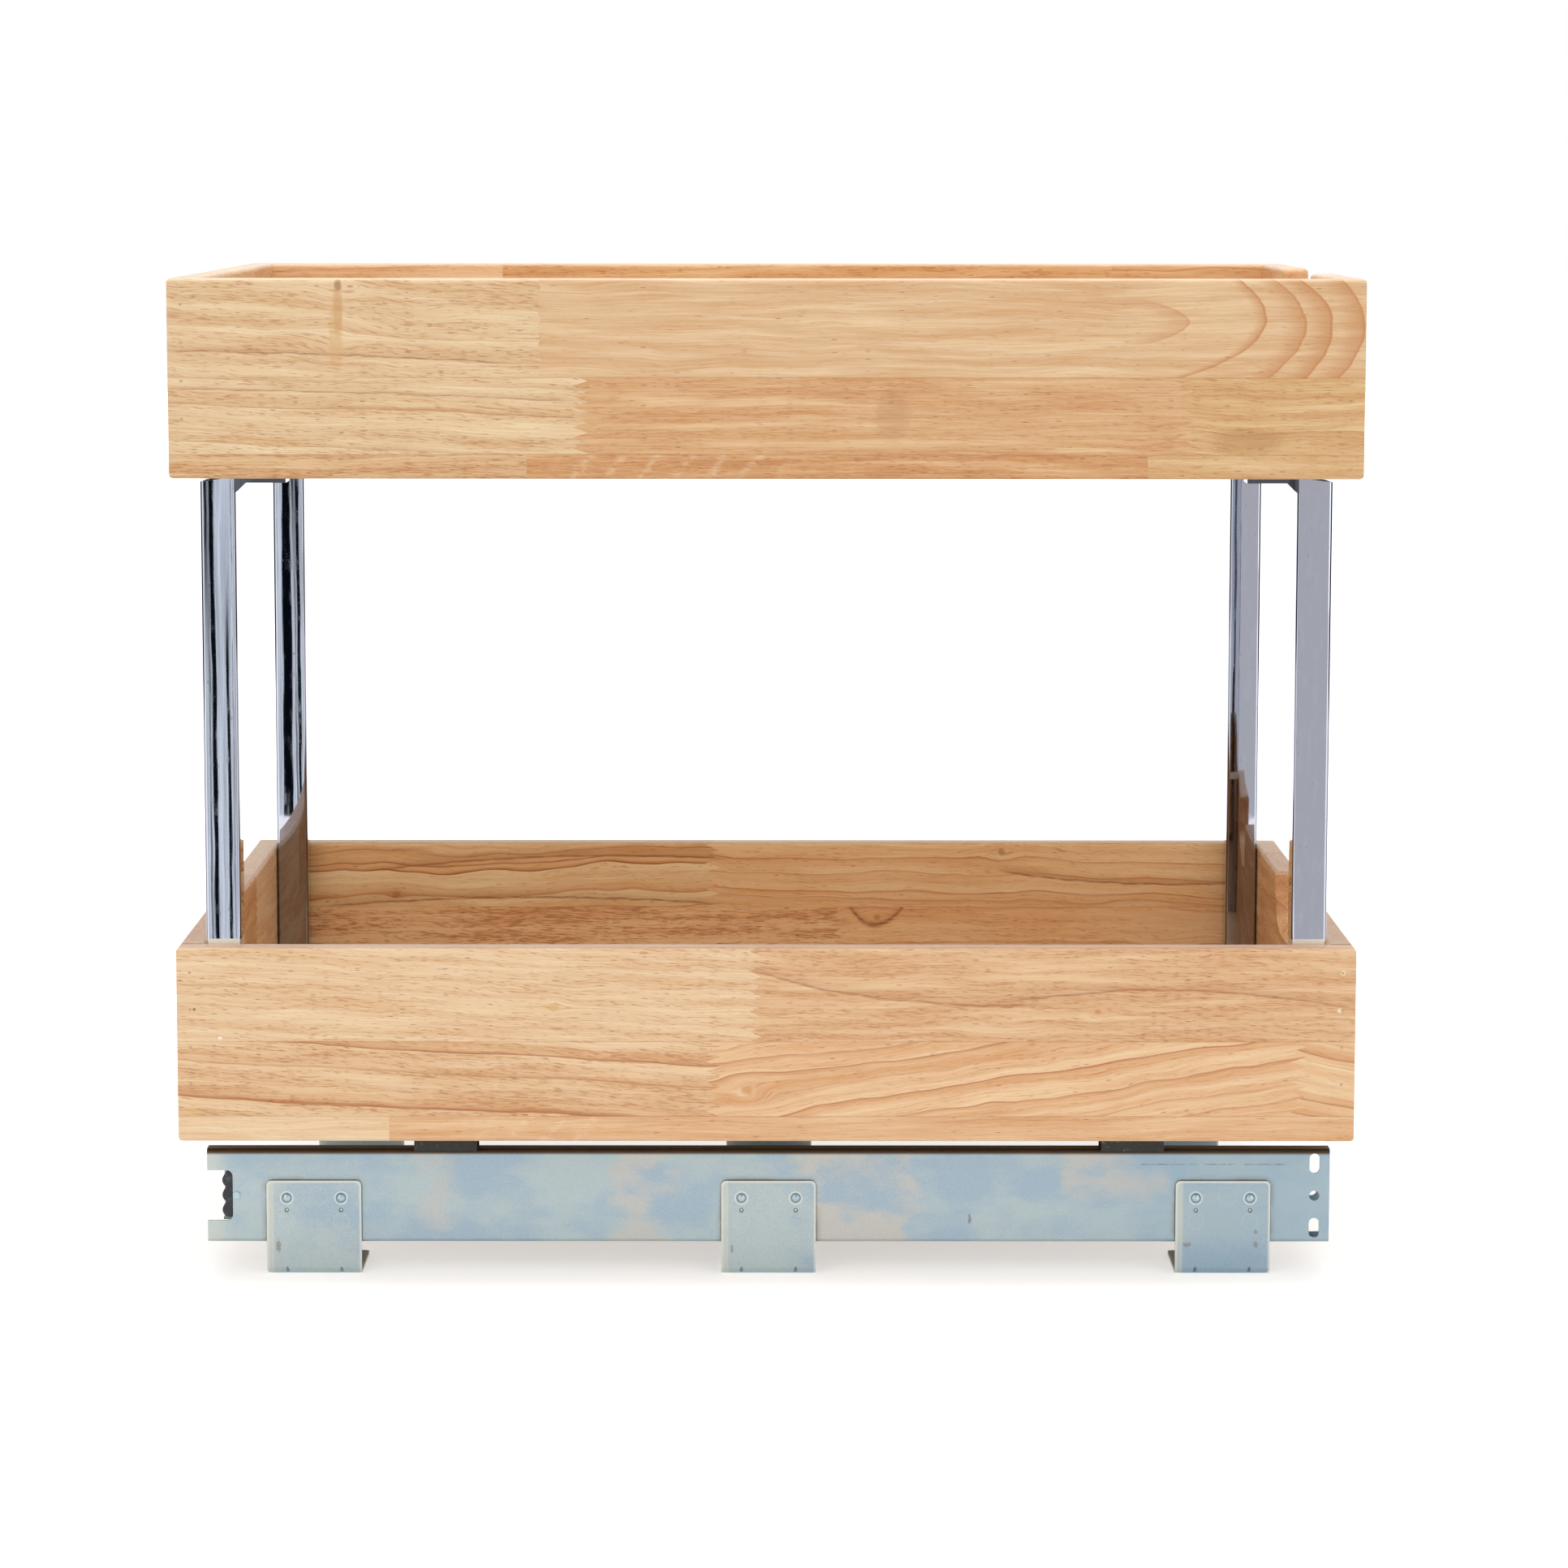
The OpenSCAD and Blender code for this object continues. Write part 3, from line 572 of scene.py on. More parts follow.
def lower_near_wall():
    """The lower wall that faces the viewer: streaks at its left, flowing lines at its right."""
    rows = [
        Row(11.7, 0.0, [
            (-171, Stave((243, 217, 179), 0.2, -90, 20, -300, 0.0, 0.0, 4, 0.1, 13)),
            (HALF_RUN, Stave((232, 190, 145), 0.3, 140, 20, -200, 0.0, 0.01, 5, 0.2, 27)),
        ]),
        Row(46, 3.5, [
            (-24, Stave((235, 203, 162), 1.3, 140, 44, -300, 0.0, -0.05, 6, 0.75, 38)),
            (241, Stave((240, 204, 161), 1.5, -60, 26, -24, 0.0, 0.15, 12, 0.3, 49)),
            (HALF_RUN, Stave((242, 210, 168), 1.4, 100, 24, 240, 0.0, -0.19, 8, 0.2, 52)),
        ]),
        Row(90, 2.6, [
            (-5, Stave((238, 209, 170), 0.3, 180, 36, -300, 0.0, -0.04, 6, 0.5, 64)),
            (HALF_RUN, Stave((228, 188, 144), 0.2, -100, 40, 100, 0.0, 0.0, 8, 0.65, 79)),
        ]),
    ]
    spots = [
        Spot(-96.2, 61.7, 3.0, 2.2, (216, 172, 104), 0.6, 5.0),
        Spot(149.9, 59.8, 1.9, 1.4, (206, 140, 78), 0.8, 4.0),
        Spot(-9, 24, 3.2, 2.4, (206, 148, 92), 0.6, 7.0),
        Spot(260.6, 77.5, 1.4, 1.4, (246, 226, 196), 0.9),
        Spot(259.4, 60.4, 1.4, 1.4, (246, 222, 186), 0.9),
        Spot(-247.1, 47.6, 1.1, 0.9, (250, 240, 226), 0.9),
        Spot(-258.6, 60.7, 0.8, 0.8, (110, 104, 80), 0.9),
        Spot(-260.5, 13.2, 5, 2.2, (228, 188, 110), 0.4),
    ]
    veins = [
        Vein(101.3, 62.6, 0.00135, -8, 118, 0.9, 6, 0.6),
        Vein(178, 69.5, -0.0011, 112, 262, 0.9, 6, 0.6),
    ]
    return wood("lower near wall wood", LOWER_BASE, False, rows, spots, (), veins, (-130, -72))


def lower_far_wall():
    """The lower wall whose inside faces the viewer, with three knots. Its staves' tones carry painted light:
    they are lighter than the wood, to make up for the shade inside the box.
    """
    rows = [
        Row(20, 0.0, [
            (100, Stave((250, 212, 164), 0.8, 160, 22, 0, 0.0, 0.01, 6, 0.6, 14)),
            (HALF_RUN, Stave((252, 216, 166), 0.8, -60, 22, 0, 0.0, 0.01, 6, 0.5, 29)),
        ]),
        Row(55, 2.0, [
            (37, Stave((255, 212, 160), 1.2, 190, 30, -300, 0.0, 0.01, 5, 1.0, 36)),
            (HALF_RUN, Stave((255, 213, 160), 2.0, -60, 20, -60, 0.0, 0.0, 12, 0.4, 47)),
        ]),
        Row(90, 3.5, [
            (-28.5, Stave((255, 228, 178), 2.0, 170, 24, -300, 0.0, 0.03, 16, 0.25, 66)),
            (HALF_RUN, Stave((255, 219, 166), 1.1, -90, 26, 0, 0.0, -0.02, 12, 0.3, 72)),
        ]),
    ]
    spots = [
        Spot(57.5, 49.7, 2.4, 1.8, (196, 136, 80), 0.7, 4),
        Spot(122.4, 84.2, 2.4, 2.2, (190, 132, 78), 0.7, 5),
        Spot(-193.7, 61.4, 2.4, 1.8, (180, 118, 66), 0.7, 5),
    ]
    veins = [
        Vein(57, 45.3, 0.05, 38, 76, 2.2, 6.0, 0.85, 55),
        Vein(210, 67, 0.0009, 124, 268, 0.9, 6, 0.75),
        Vein(-120, 60, -0.0004, -230, -30, 0.9, 6, 0.75),
        Vein(-80, 82, -0.0005, -200, -26, 0.9, 6, 0.75),
    ]
    return wood("lower far wall wood", LOWER_BASE, False, rows, spots, (), veins)


def plain_wall(name, base, end_wall, seed):
    """A wall with staves, joints and tones of its own, drawn by chance."""
    draw = random.Random(seed)
    tones = [(242, 206, 160), (237, 196, 146), (246, 215, 174), (240, 201, 152), (232, 188, 136)]
    rows = []
    for top in (draw.uniform(9, 24), draw.uniform(42, 58), WALL_HEIGHT + 1):
        staves = []
        end = -HALF_RUN
        while end < HALF_RUN:
            end += draw.uniform(110, 330)
            stave = Stave(
                tone=draw.choice(tones),
                figure=draw.uniform(0.4, 1.0),
                pith_height=draw.choice((-80, 20, 60, 150)),
                pith_depth=draw.uniform(8, 40),
                taper_from=draw.uniform(-260, 160),
                taper=draw.uniform(-0.15, 0.15),
                slope=draw.uniform(-0.04, 0.04),
                wave=draw.uniform(3, 16),
                pores=draw.uniform(0.3, 0.9),
                seed=draw.randrange(100),
            )
            staves.append((min(end, HALF_RUN), stave))
        rows.append(Row(top, draw.choice((0.0, 3.5)), staves))
    knot_u = draw.uniform(-150, 150)
    spots = [Spot(knot_u, draw.uniform(20, 75), 2.6, 2.0, (176, 116, 66), 0.7, 5)]
    return wood(name, base, end_wall, rows, spots)


def plywood(name):
    """Birch plywood of the floor panels: a wide, quiet figure, and stacked veneers at its edges."""
    paint = Paint(name)
    x, y, z = paint.place()
    _, _, facing_z = paint.facing()
    swirl = paint.noise(x / 160, y / 34, z / 40, detail=1) * 9
    part = swirl.fract()
    fibre = paint.noise(x / 30, y / 0.7, z / 0.7, detail=3)
    fleck = paint.ease(paint.cells(x / 5, y / 0.8, z), 0.3, 0.12)
    tone = paint.mix(part**3 * 0.35, seen(231, 202, 162), seen(203, 160, 112))
    tone = paint.mix(paint.ease(fibre, 0.4, 0.8) * 0.3, tone, seen(208, 164, 118), "MULTIPLY")
    tone = paint.mix(fleck * 0.3, tone, seen(178, 130, 84))
    plies = z.to_and_fro(1.5)
    edge = paint.mix(paint.ease(plies, 0.4, 0.6), seen(222, 190, 148), seen(166, 122, 82))
    tone = paint.mix(paint.ease(abs(facing_z), 0.7, 0.4), tone, edge)
    rough = 0.42 + 0.12 * fibre
    relief = fibre * 0.1 - fleck * 0.1
    return paint.finish(tone, rough, relief, lift=0.25, coat_weight=0.15, coat_roughness=0.25)


def wood_filler():
    """Pale, blotchy filler over the set brads."""
    paint = Paint("wood filler")
    x, y, z = paint.place()
    blotch = paint.noise(x / 0.5, y / 0.5, z / 0.5, detail=2)
    tone = paint.mix(blotch, seen(226, 196, 158), seen(176, 132, 92))
    return paint.finish(tone, 0.55 + 0.2 * blotch, blotch * 0.2, lift=0.4)


# ---- Metals and rubber ----

POST_LOW, POST_HIGH = corners("post_front_right")
POST_HALF = (POST_HIGH.y - POST_LOW.y) / 2
POST_X = POST_HIGH.x - POST_HALF  # middle of the tube, whose tabs run inwards
POST_Y = POST_HIGH.y - POST_HALF
POST_CROWN = 0.12  # how far a face's middle stands above its edges
FAR_POST_TURN = 0.0227  # slope of the far posts' faces


def chrome():
    """Polished chrome on square tube, with slightly crowned faces. The far pair stands a little askew."""
    paint = Paint("chrome")
    x, y, z = paint.place()
    across_x = abs(x) - POST_X
    across_y = abs(y) - POST_Y
    crown = (2 * POST_CROWN) - ((across_x / POST_HALF) ** 2 + (across_y / POST_HALF) ** 2) * POST_CROWN
    askew = x * (y > 0) * FAR_POST_TURN
    ripple = paint.noise(x / 9, y / 9, z / 60, detail=1) * 0.02
    film = paint.noise(x / 3, y / 3, z / 12, detail=3)
    mark = paint.ease(paint.cells(x / 4, y / 4, z / 9), 0.14, 0.04)
    scratch = paint.noise(x / 0.3, y / 0.3, z / 26, detail=1)
    tone = paint.mix(paint.ease(film, 0.45, 0.75) * 0.35, (0.40, 0.415, 0.47), (0.47, 0.49, 0.55))
    tone = paint.mix(mark * 0.35, tone, (0.26, 0.26, 0.29))
    # Painted reflection: the rounded corners of each tube are painted near black
    corner = paint.ease(abs(across_x), 7.0, 7.6) * paint.ease(abs(across_y), 7.0, 7.6)
    tone = paint.mix(corner * 0.85, tone, (0.03, 0.03, 0.036))
    # Painted reflection: a pale, blurred band on the near posts, at the height of the lower box's top rim
    rim_reflection = paint.ease(abs(z - LOWER_BASE - WALL_HEIGHT), 2.3, 1.8) * (y < 0)
    tone = paint.mix(rim_reflection * 0.8, tone, (0.86, 0.82, 0.72))
    rough = 0.02 + 0.05 * paint.ease(film, 0.5, 0.8) + 0.05 * mark + 0.35 * rim_reflection
    height = crown + askew + ripple + scratch * 0.0006
    return paint.finish(tone, rough, height, lift=1.0, metallic=1.0)


def zinc_tone(paint, x, y, z, warm):
    """Blue-white zinc plate: cloudy, with cream patches where warm is 1, and peppered with a fine grain."""
    cloud = paint.noise(x / 42, y / 20, z / 24, detail=4, roughness=0.55)
    grit = paint.noise(x / 0.45, y / 0.45, z / 0.45, detail=2, roughness=0.7)
    lines = paint.noise(x / 50, y / 0.5, z / 0.5, detail=2)
    tone = paint.mix(paint.ease(cloud, 0.38, 0.60), (0.29, 0.39, 0.47), (0.385, 0.465, 0.48))
    tone = paint.mix(warm * paint.ease(cloud, 0.32, 0.50), tone, (0.465, 0.455, 0.42))
    tone = paint.mix(paint.ease(grit, 0.35, 0.7) * 0.25, tone, (0.58, 0.62, 0.63))
    tone = paint.mix(paint.ease(grit, 0.5, 0.25) * 0.28, tone, (0.20, 0.25, 0.28))
    tone = paint.mix(paint.ease(x, 100, 240) * 0.45, tone, (0.22, 0.33, 0.42))
    hair = paint.noise((x + z * 0.7) / 26, (z - x * 0.7) / 0.22, 5.0, detail=1)
    tone = paint.mix(paint.ease(hair, 0.74, 0.80) * 0.4, tone, (0.24, 0.26, 0.26))
    tone = paint.mix(paint.ease(lines, 0.6, 0.78) * 0.12, tone, (0.24, 0.29, 0.32))
    return tone, cloud, grit, lines


BRACKET_XS = [middle(f"left_{place}_bracket").x for place in ("rear", "mid", "front")]
BRACKET_LOW, BRACKET_HIGH = corners("left_mid_bracket")
BRACKET_HALF = (BRACKET_HIGH.x - BRACKET_LOW.x) / 2
BRACKET_TOP = BRACKET_HIGH.z
BRACKET_CORNER = 3
RIVET_PITCH = 25.2
RIVET_HEIGHT = middle("left_bracket_rivets").z
RIVET_HEAD = 1.85  # radii of its head and shank
RIVET_SHANK = 1.5
RIVET_RISE = 0.62  # height of its dome
RIVET_RIM = 0.3  # thickness of its head below the dome
PIP_DROP = 5.7  # from a rivet down to its punched pip
SLIDE_LOW, SLIDE_HIGH = corners("left_cabinet_member")


def beyond_bracket(x, z, bracket_x):
    """How far a point lies outside a bracket's rounded outline."""
    out_x = (abs(x - bracket_x) - BRACKET_HALF + BRACKET_CORNER).at_least(0)
    out_z = (z - BRACKET_TOP + BRACKET_CORNER).at_least(0)
    return (out_x * out_x + out_z * out_z) ** 0.5 - BRACKET_CORNER


def smear(paint, x, z, middle_x, height, reach_x, reach_z):
    """A ragged brown stain on zinc."""
    rough = paint.noise(x / 1.1, z / 1.3, middle_x, detail=3) * 2.2 - 1.1
    across = ((x - middle_x) / reach_x) ** 2 + ((z - height) / reach_z) ** 2
    return paint.ease(across + rough, 0.9, 0.2)


def zinc_slide():
    """Zinc-plated slide members: patches, a rubbed rear end, painted reflection on the top bend, painted
    shadow round the brackets.
    """
    paint = Paint("zinc slide")
    x, y, z = paint.place()
    uneven = paint.noise(x / 18, z / 10, y / 14, detail=3) * 40 - 20
    upper_part = paint.ease(z + uneven * 0.3, SLIDE_LOW.z + 17, SLIDE_LOW.z + 27)
    warm = paint.band(x + uneven, 17, 66, 5) + paint.band(x + uneven, 140, 187, 5) * upper_part
    warm = warm + paint.band(x + uneven, -160, -146, 4) * 0.6 + paint.band(x + uneven, -70, -48, 5) * 0.8
    tone, cloud, grit, lines = zinc_tone(paint, x, y, z, warm)
    rubbed = paint.ease(x + uneven * 0.2, SLIDE_LOW.x + 12, SLIDE_LOW.x + 2)
    tone = paint.mix(rubbed * 0.45, tone, (0.62, 0.60, 0.50))
    outside = paint.ease(abs(y), abs(SLIDE_LOW.y) - 0.8, abs(SLIDE_LOW.y) - 0.3)
    # Painted shadow round each bracket: a dark line at its edge, and a soft, cloudy shade beyond it
    for bracket_x in BRACKET_XS:
        away = beyond_bracket(x, z, bracket_x)
        bracket_shadow = paint.ease(away, 0.55, 0.15)
        bracket_shade_haze = paint.ease(away, 3.5, 0.0) * paint.ease(cloud, 0.46, 0.6)
        tone = paint.mix((bracket_shadow * 0.7 + bracket_shade_haze * 0.3) * outside, tone, (0.13, 0.10, 0.07))
    scratch = paint.ease(abs(z - SLIDE_HIGH.z + 7.2), 0.25, 0.1) * paint.band(x, 170, 242, 2) * outside
    scratch = scratch * paint.ease(paint.noise(x / 6, 1.0, 1.0), 0.40, 0.6)
    tone = paint.mix(scratch * 0.75, tone, (0.08, 0.08, 0.08))
    nick = smear(paint, x, z, 94.5, SLIDE_LOW.z + 11, 1.0, 3.2) * outside
    tone = paint.mix(nick * 0.6, tone, (0.16, 0.14, 0.14))
    # Painted reflection: the top bend is painted dark brown, as the shaded bottom of the box would mirror in
    # it
    bend = paint.ease(z, SLIDE_HIGH.z - 3.2, SLIDE_HIGH.z - 1.6)
    tone = paint.mix(bend, tone, paint.mix(cloud, (0.045, 0.03, 0.018), (0.11, 0.07, 0.04)))
    rough = 0.36 + 0.12 * cloud + 0.12 * grit
    return paint.finish(tone, rough, grit * 0.03 + lines * 0.02, lift=0.5, metallic=0.92)


def zinc_bracket():
    """Zinc-plated brackets: painted highlights on their rims, rivets whose dishes and punched pips are drawn
    with painted shade and highlights, and brown smears.
    """
    paint = Paint("zinc bracket")
    x, y, z = paint.place()
    tone, cloud, grit, _ = zinc_tone(paint, x, y, z, paint.noise(x / 9, y / 9, z / 9) * 0.2)
    for bracket_x in BRACKET_XS:
        inward = 0 - beyond_bracket(x, z, bracket_x)
        on_bracket = paint.ease(abs(x - bracket_x), BRACKET_HALF + 3, BRACKET_HALF + 1)
        # Painted highlight: a pale rim along each bracket's edge, and a pale band along its left edge
        rim = paint.ease(inward, 1.3, 0.6) * on_bracket
        tone = paint.mix(rim * 0.55, tone, (0.70, 0.70, 0.62))
        side = paint.band(x, bracket_x - BRACKET_HALF + 0.5, bracket_x - BRACKET_HALF + 3.4, 0.5)
        tone = paint.mix(side * 0.35, tone, (0.66, 0.63, 0.50))
        for hand in (-1, 1):
            across = x - bracket_x - hand * RIVET_PITCH / 2
            away = (across * across + (z - RIVET_HEIGHT) ** 2) ** 0.5
            # Painted shade and highlight round each rivet: a dark ring in its dish, and a bright ring at the
            # dish's edge
            tone = paint.mix(paint.band(away, 1.9, 2.35, 0.2) * 0.7, tone, (0.12, 0.15, 0.15))
            tone = paint.mix(paint.band(away, 2.7, 3.1, 0.25) * 0.6, tone, (0.80, 0.84, 0.80))
            # Each punched pip is drawn in paint alone: a ring of painted shade round a painted highlight
            pip = (across * across + (z - RIVET_HEIGHT + PIP_DROP) ** 2) ** 0.5
            tone = paint.mix(paint.ease(abs(pip - 0.75), 0.4, 0.15) * 0.8, tone, (0.09, 0.11, 0.11))
            tone = paint.mix(paint.ease(pip, 0.45, 0.2) * 0.8, tone, (0.80, 0.85, 0.84))

    # Faint rings in the plating
    for ring_x, height, radius in ((-12.6, 25, 3.6), (12.6, 25, 3.6), (2, 37, 4.2)):
        for bracket_x in BRACKET_XS:
            away = ((x - bracket_x - ring_x) ** 2 + (z - height) ** 2) ** 0.5
            tone = paint.mix(paint.ease(abs(away - radius), 0.6, 0.1) * 0.09, tone, (0.62, 0.68, 0.70))
    rear, mid, front = BRACKET_XS
    for smear_x, below, reach_x, reach_z in (
        (rear - 16.6, 31, 1.3, 3.6),
        (front - 16.5, 30, 2.2, 1.5),
        (front + 15.4, 24, 1.0, 1.2),
        (front + 15.4, 30, 1.4, 2.0),
        (mid - 17, 32, 0.8, 2.6),
    ):
        stain = smear(paint, x, z, smear_x, BRACKET_TOP - below, reach_x, reach_z)
        tone = paint.mix(stain * 0.55, tone, (0.20, 0.15, 0.13))
    rough = 0.36 + 0.12 * cloud + 0.12 * grit
    return paint.finish(tone, rough, grit * 0.04, lift=0.5, metallic=0.92)


def zinc_rivet():
    """Rivets of the slides: brighter, bluer zinc."""
    paint = Paint("zinc rivet")
    x, y, z = paint.place()
    cloud = paint.noise(x / 1.5, y / 1.5, z / 1.5, detail=2)
    tone = paint.mix(cloud, (0.26, 0.36, 0.42), (0.46, 0.58, 0.62))
    return paint.finish(tone, 0.16 + 0.12 * cloud, cloud * 0.03, lift=0.5, metallic=1.0)


def black_steel():
    """Black-passivated carriers: brownish black, scuffed in places."""
    paint = Paint("black steel")
    x, y, z = paint.place()
    cloud = paint.noise(x / 7, y / 7, z / 7, detail=3)
    scuff = paint.ease(paint.noise(x / 2, y / 11, z / 2, detail=3), 0.6, 0.8)
    tone = paint.mix(cloud, seen(40, 40, 36), seen(60, 58, 52))
    tone = paint.mix(scuff * 0.5, tone, seen(128, 128, 126))
    return paint.finish(tone, 0.38 + 0.2 * cloud, cloud * 0.05, lift=0.5, metallic=0.55)


def yellow_zinc():
    """Yellow-passivated ball cages, with a greenish and reddish cast."""
    paint = Paint("yellow zinc")
    x, y, z = paint.place()
    cast = paint.noise(x / 12, y / 5, z / 5, detail=2)
    tone = paint.mix(cast, (0.62, 0.50, 0.26), (0.70, 0.56, 0.42))
    return paint.finish(tone, 0.26 + 0.15 * cast, cast * 0.03, lift=0.4, metallic=1.0)


def bearing_steel():
    """Ground balls under a film of grease."""
    paint = Paint("bearing steel")
    x, y, z = paint.place()
    film = paint.noise(x / 1.2, y / 1.2, z / 1.2, detail=2)
    tone = paint.mix(film, (0.62, 0.63, 0.64), (0.48, 0.47, 0.43))
    return paint.finish(tone, 0.06 + 0.14 * film, film * 0.01, lift=0.3, metallic=1.0)


def screw_steel():
    """Zinc-plated wood screws, with fine rings in relief."""
    paint = Paint("screw steel")
    x, y, z = paint.place()
    cloud = paint.noise(x / 1.1, y / 1.1, z / 1.1, detail=2)
    thread = paint.ease(z.to_and_fro(0.7), 0.3, 0.7)
    tone = paint.mix(cloud, (0.50, 0.50, 0.50), (0.66, 0.66, 0.65))
    return paint.finish(tone, 0.24 + 0.14 * cloud, thread * 0.05, lift=0.4, metallic=1.0)


def rubber():
    """Moulded rubber of the bumpers: dull, a little dusty."""
    paint = Paint("rubber")
    x, y, z = paint.place()
    dust = paint.noise(x / 3, y / 3, z / 3, detail=3)
    tone = paint.mix(paint.ease(dust, 0.45, 0.8) * 0.5, seen(52, 55, 60), seen(112, 116, 120))
    return paint.finish(tone, 0.62 + 0.2 * dust, dust * 0.1, lift=0.5)


# ---- Meshes ----


WELD = 0.002 * MM  # points nearer to each other than this are merged
CREASE = math.radians(32)  # edges sharper than this stay crisp


def linked(name, data):
    """A new object in the scene."""
    made = bpy.data.objects.new(name, data)
    bpy.context.scene.collection.objects.link(made)
    return made


def smooth_mesh(name, shape):
    """Turns a shape into a mesh with smoothly shaded faces."""
    for face in shape.faces:
        face.smooth = True
    mesh = bpy.data.meshes.new(name)
    shape.to_mesh(mesh)
    shape.free()
    return mesh


def dress(node, material):
    """Puts a copy with merged, smoothly shaded faces in place of a CAD node, in its finish."""
    shape = bmesh.new()
    shape.from_mesh(nodes[node].data)
    bmesh.ops.remove_doubles(shape, verts=shape.verts, dist=WELD)
    for edge in shape.edges:
        edge.smooth = edge.is_manifold and edge.calc_face_angle(0) < CREASE
    mesh = smooth_mesh(f"{node}_finished", shape)
    mesh.materials.append(material)
    piece = link_piece(f"{node}_finished", mesh, node)
    flats = piece.modifiers.new("even flats", "WEIGHTED_NORMAL")
    flats.keep_sharp = True


def link_piece(name, mesh, node):
    """Links a mesh as the piece that stands for a CAD node, on that node's body, and hides the node."""
    piece = linked(name, mesh)
    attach(piece, body_of[node])
    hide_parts(node)
    return piece


def turned(name, profile, segments, up):
    """A part turned on a lathe: a (radius, height) profile, whose axis stands along up."""
    shape = bmesh.new()
    rim = [shape.verts.new((radius * MM, 0, height * MM)) for radius, height in profile]
    lines = [shape.edges.new(pair) for pair in zip(rim, rim[1:])]
    bmesh.ops.spin(
        shape, geom=rim + lines, axis=(0, 0, 1), cent=(0, 0, 0),
        angle=math.tau, steps=segments, use_merge=True,
    )
    bmesh.ops.remove_doubles(shape, verts=shape.verts, dist=WELD)
    bmesh.ops.recalc_face_normals(shape, faces=shape.faces)
    turn = Vector((0, 0, 1)).rotation_difference(Vector(up)).to_matrix().to_4x4()
    bmesh.ops.transform(shape, matrix=turn, verts=shape.verts)
    return bpy.data.objects.new(name, smooth_mesh(name, shape))


def set_of_parts_tree():
    """Geometry nodes that put a template at each point of a mesh, at a scale and with a finish."""
    tree = bpy.data.node_groups.new("set of parts", "GeometryNodeTree")
    for name, kind in (
        ("Places", "NodeSocketGeometry"), ("Template", "NodeSocketObject"), ("Scale", "NodeSocketFloat"),
        ("Finish", "NodeSocketMaterial"),
    ):
        tree.interface.new_socket(name, in_out="INPUT", socket_type=kind)
    tree.interface.new_socket("Parts", in_out="OUTPUT", socket_type="NodeSocketGeometry")
    given = tree.nodes.new("NodeGroupInput").outputs
    template = tree.nodes.new("GeometryNodeObjectInfo")
    copies = tree.nodes.new("GeometryNodeInstanceOnPoints")
    solid = tree.nodes.new("GeometryNodeRealizeInstances")
    finish = tree.nodes.new("GeometryNodeSetMaterial")
    result = tree.nodes.new("NodeGroupOutput").inputs
    for start, end in (
        (given["Places"], copies.inputs["Points"]),
        (given["Template"], template.inputs["Object"]),
        (template.outputs["Geometry"], copies.inputs["Instance"]),
        (given["Scale"], copies.inputs["Scale"]),
        (copies.outputs["Instances"], solid.inputs["Geometry"]),
        (solid.outputs["Geometry"], finish.inputs["Geometry"]),
        (given["Finish"], finish.inputs["Material"]),
        (finish.outputs["Geometry"], result["Parts"]),
    ):
        tree.links.new(start, end)
    return tree


PARTS_TREE = set_of_parts_tree()


def set_of_parts(node, template, places, material):
    """Copies of a template at the given places, as one mesh that stands for a CAD node."""
    points = bpy.data.meshes.new("places")
    points.from_pydata([Vector(place) * MM for place in places], [], [])
    holder = linked("places", points)
    modifier = holder.modifiers.new("parts", "NODES")
    modifier.node_group = PARTS_TREE
    inputs = [item for item in PARTS_TREE.interface.items_tree if item.in_out == "INPUT"]
    sockets = {item.name: item.identifier for item in inputs}
    modifier[sockets["Template"]] = template
    modifier[sockets["Scale"]] = 1.0
    modifier[sockets["Finish"]] = material
    graph = bpy.context.evaluated_depsgraph_get()
    mesh = bpy.data.meshes.new_from_object(holder.evaluated_get(graph), depsgraph=graph)
    bpy.data.objects.remove(holder)
    bpy.data.objects.remove(template)
    link_piece(f"{node}_set", mesh, node)


BALL_RADIUS = 2.0
BALL_COUNT = 8  # along each of a cage's two rows


def bearing_balls(side, row, material):
    """The balls of one cage, where the CAD has them."""
    node = f"{side}_{row}_balls"
    low, high = corners(node)
    step = (high.x - low.x - 2 * BALL_RADIUS) / (BALL_COUNT - 1)
    places = [
        (low.x + BALL_RADIUS + i * step, (low.y + high.y) / 2, z)
        for i in range(BALL_COUNT)
        for z in (low.z + BALL_RADIUS, high.z - BALL_RADIUS)
    ]
    arc = [math.pi * i / 10 for i in range(11)]
    profile = [(BALL_RADIUS * math.sin(a), -BALL_RADIUS * math.cos(a)) for a in arc]
    set_of_parts(node, turned("ball", profile, 20, (0, 0, 1)), places, material)


def bracket_rivets(side, material):
    """Domed rivets of the brackets, with their shanks."""
    node = f"{side}_bracket_rivets"
    low, high = corners(node)
    outward = -1 if side == "left" else 1
    face = low.y if outward < 0 else high.y
    shank_end = RIVET_RISE - (high.y - low.y)
    arc = [math.pi * i / 12 for i in range(7)]
    dome = [(RIVET_HEAD * math.sin(a), RIVET_RISE * math.cos(a)) for a in arc]
    below = [(RIVET_HEAD, -RIVET_RIM), (RIVET_SHANK, -RIVET_RIM), (RIVET_SHANK, shank_end), (0, shank_end)]
    template = turned("rivet", dome + below, 24, (0, outward, 0))
    places = [
        (x + hand * RIVET_PITCH / 2, face - outward * RIVET_RISE, RIVET_HEIGHT)
        for x in BRACKET_XS
        for hand in (-1, 1)
    ]
    set_of_parts(node, template, places, material)


# ---- The object ----


